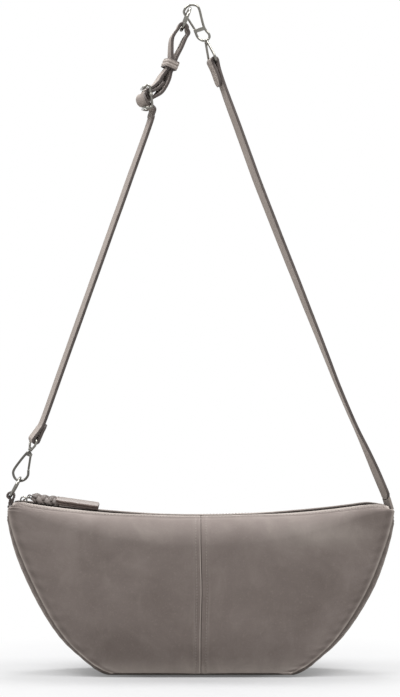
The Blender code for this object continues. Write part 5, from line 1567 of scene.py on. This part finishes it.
def strapRight(bar):
    stations = foldStations(bar, strapSize["upperFlap"])
    start, _, half = stations[-1]
    along = strapRoot - start
    left = Vector((along.z, 0, -along.x)).normalized()
    for share, bow, turn in rightRun["shares"]:
        place = start + along * share + left * (bow * along.length)
        stations.append((place, widthWay(-along, strapSize["rootYaw"] * turn), half))
    down = facing(spin(-rightRun["footTilt"], "Y"), 0, 0, -1)
    footSide = widthWay(-down, strapSize["rootYaw"])
    full = rightRun["footFull"]
    for share in rightRun["foot"]:
        stations.append((strapRoot + down * (half * share), footSide, half * (1 - share ** full) ** (1 / full)))
    ribbon = Ribbon(stations)
    ribbon.roundEnd(True, strapSize["upperRound"])
    strapPiece(ribbon, "right")


def anchorPiece():
    side = widthWay(Vector((0, 0, 1)), strapSize["rootYaw"])
    yaw = Matrix.Rotation(math.atan2(side.y, side.x), 4, "Z")
    place = Matrix.Translation(strapRoot) @ spin(-rightRun["footTilt"], "Y") @ yaw
    thick, wide = strapSize["thick"] / 2, rightRun["anchorHalf"]
    low = -rootHeight - rightRun["anchorDeep"]
    # local X across the strap, Y up, Z through its thickness; the top is hollow for the strap's foot
    across = wide / math.cos(math.radians(45))
    outline = [(-wide, low), (wide, low)]
    outline += [(across * x, rightRun["hollow"] * y) for x, y in arc(1, -45, -135, 20)]
    pile = Pile()
    addSlab(pile, outline, -thick, thick, place @ spin(90, "X"), rightRun["anchorSoft"], 4, wearAndPaintedLight=-0.3)
    for face in (-1, 1):
        line = placed(place, [(x, face * thick, low + rightRun["sewnUp"]) for x in rightRun["sewnAcross"]])
        addStitches(pile, line, [facing(place, 0, face, 0)] * 2, "anchor", 1)
    pile.piece("anchor_leather", [strapNubuck, paleThread], "bag", "nubuck", ["strap_anchor"])


strapRight(upperBar)
anchorPiece()
print("right strap made")


# Floor, world and lamps.
studio = dict(lengths(floorLow=-0.2), world=0.3, white=1.0, aim=(0, 0, 0.25), glowFrom=0.06, glowTo=0.34,
    glowLeast=0.12, floorBounce=(206, 204, 201), floorShown=(164, 164, 165), floorSpeck=(158, 158, 159),
    floorSize=6)
# place, size and watts
lamps = dict(keyLamp=((-1.0, -0.6, 2.2), 1.1, 48), sideLamp=((0.9, -0.65, 2.2), 1.1, 42),
    topLamp=((0.1, 0.65, 2.3), 0.9, 50))


def shownRays(tree):
    # the rays that show the background: the camera's own and those in metal and glass
    rays = tree.nodes.new("ShaderNodeLightPath")
    seen = rays.outputs["Is Camera Ray"]
    for kind in ("Is Glossy Ray", "Is Transmission Ray"):
        either = tree.nodes.new("ShaderNodeMath")
        either.operation = "MAXIMUM"
        tree.links.new(seen, either.inputs[0])
        tree.links.new(rays.outputs[kind], either.inputs[1])
        seen = either.outputs[0]
    return seen


def makeFloor():
    made = bmesh.new()
    bmesh.ops.create_grid(made, x_segments=40, y_segments=40, size=studio["floorSize"])
    mesh = bpy.data.meshes.new("studioFloor")
    made.to_mesh(mesh)
    made.free()
    floor = bpy.data.objects.new("studioFloor", mesh)
    floor.location.z = studio["floorLow"]
    scene.collection.objects.link(floor)
    finish = Finish("paleFloor")
    speck = finish.noise(30, 3, 0.5)
    seen = shownRays(finish.tree)
    # the floor lights the bag's base more than it shows
    bounce = finish.mix(seen, paint(*studio["floorBounce"]), paint(*studio["floorShown"]))
    colour = finish.mix(finish.span(speck, 0.3, 0.7, 0, 0.5), bounce, paint(*studio["floorSpeck"]))
    material = finish.done(colour, 0.9)
    # far from the bag the floor turns into the white of the studio
    glow = finish.node("ShaderNodeEmission", {"Color": (1, 1, 1, 1), "Strength": 1.0})
    away = finish.node("ShaderNodeVectorMath", {0: finish.place}, operation="LENGTH").outputs["Value"]
    share = finish.span(away, studio["glowFrom"], studio["glowTo"], studio["glowLeast"], 1)
    share = finish.sum("MULTIPLY", share, seen)
    blend = finish.node("ShaderNodeMixShader", {0: share, 1: finish.shader.outputs[0], 2: glow.outputs[0]})
    finish.tree.links.new(blend.outputs[0], finish.tree.nodes["Material Output"].inputs["Surface"])
    mesh.materials.append(material)


def makeWorld():
    world = bpy.data.worlds.new("studioWorld")
    scene.world = world
    world.use_nodes = True
    nodes, links = world.node_tree.nodes, world.node_tree.links
    back = nodes["Background"]
    back.inputs["Color"].default_value = (0.97, 0.985, 1.0, 1)
    back.inputs["Strength"].default_value = studio["world"]
    white = nodes.new("ShaderNodeBackground")
    white.inputs["Color"].default_value = (1, 1, 1, 1)
    white.inputs["Strength"].default_value = studio["white"]
    blend = nodes.new("ShaderNodeMixShader")
    links.new(shownRays(world.node_tree), blend.inputs[0])
    links.new(back.outputs[0], blend.inputs[1])
    links.new(white.outputs[0], blend.inputs[2])
    links.new(blend.outputs[0], nodes["World Output"].inputs["Surface"])


def makeLamp(name, place, size, watts):
    data = bpy.data.lights.new(name, "AREA")
    data.shape = "DISK"
    data.size = size
    data.energy = watts
    lamp = bpy.data.objects.new(name, data)
    lamp.location = place
    lamp.rotation_euler = (Vector(studio["aim"]) - Vector(place)).to_track_quat("-Z", "Y").to_euler()
    scene.collection.objects.link(lamp)


makeFloor()
makeWorld()
for name, (place, size, watts) in lamps.items():
    makeLamp(name, place, size, watts)
print("studio made")
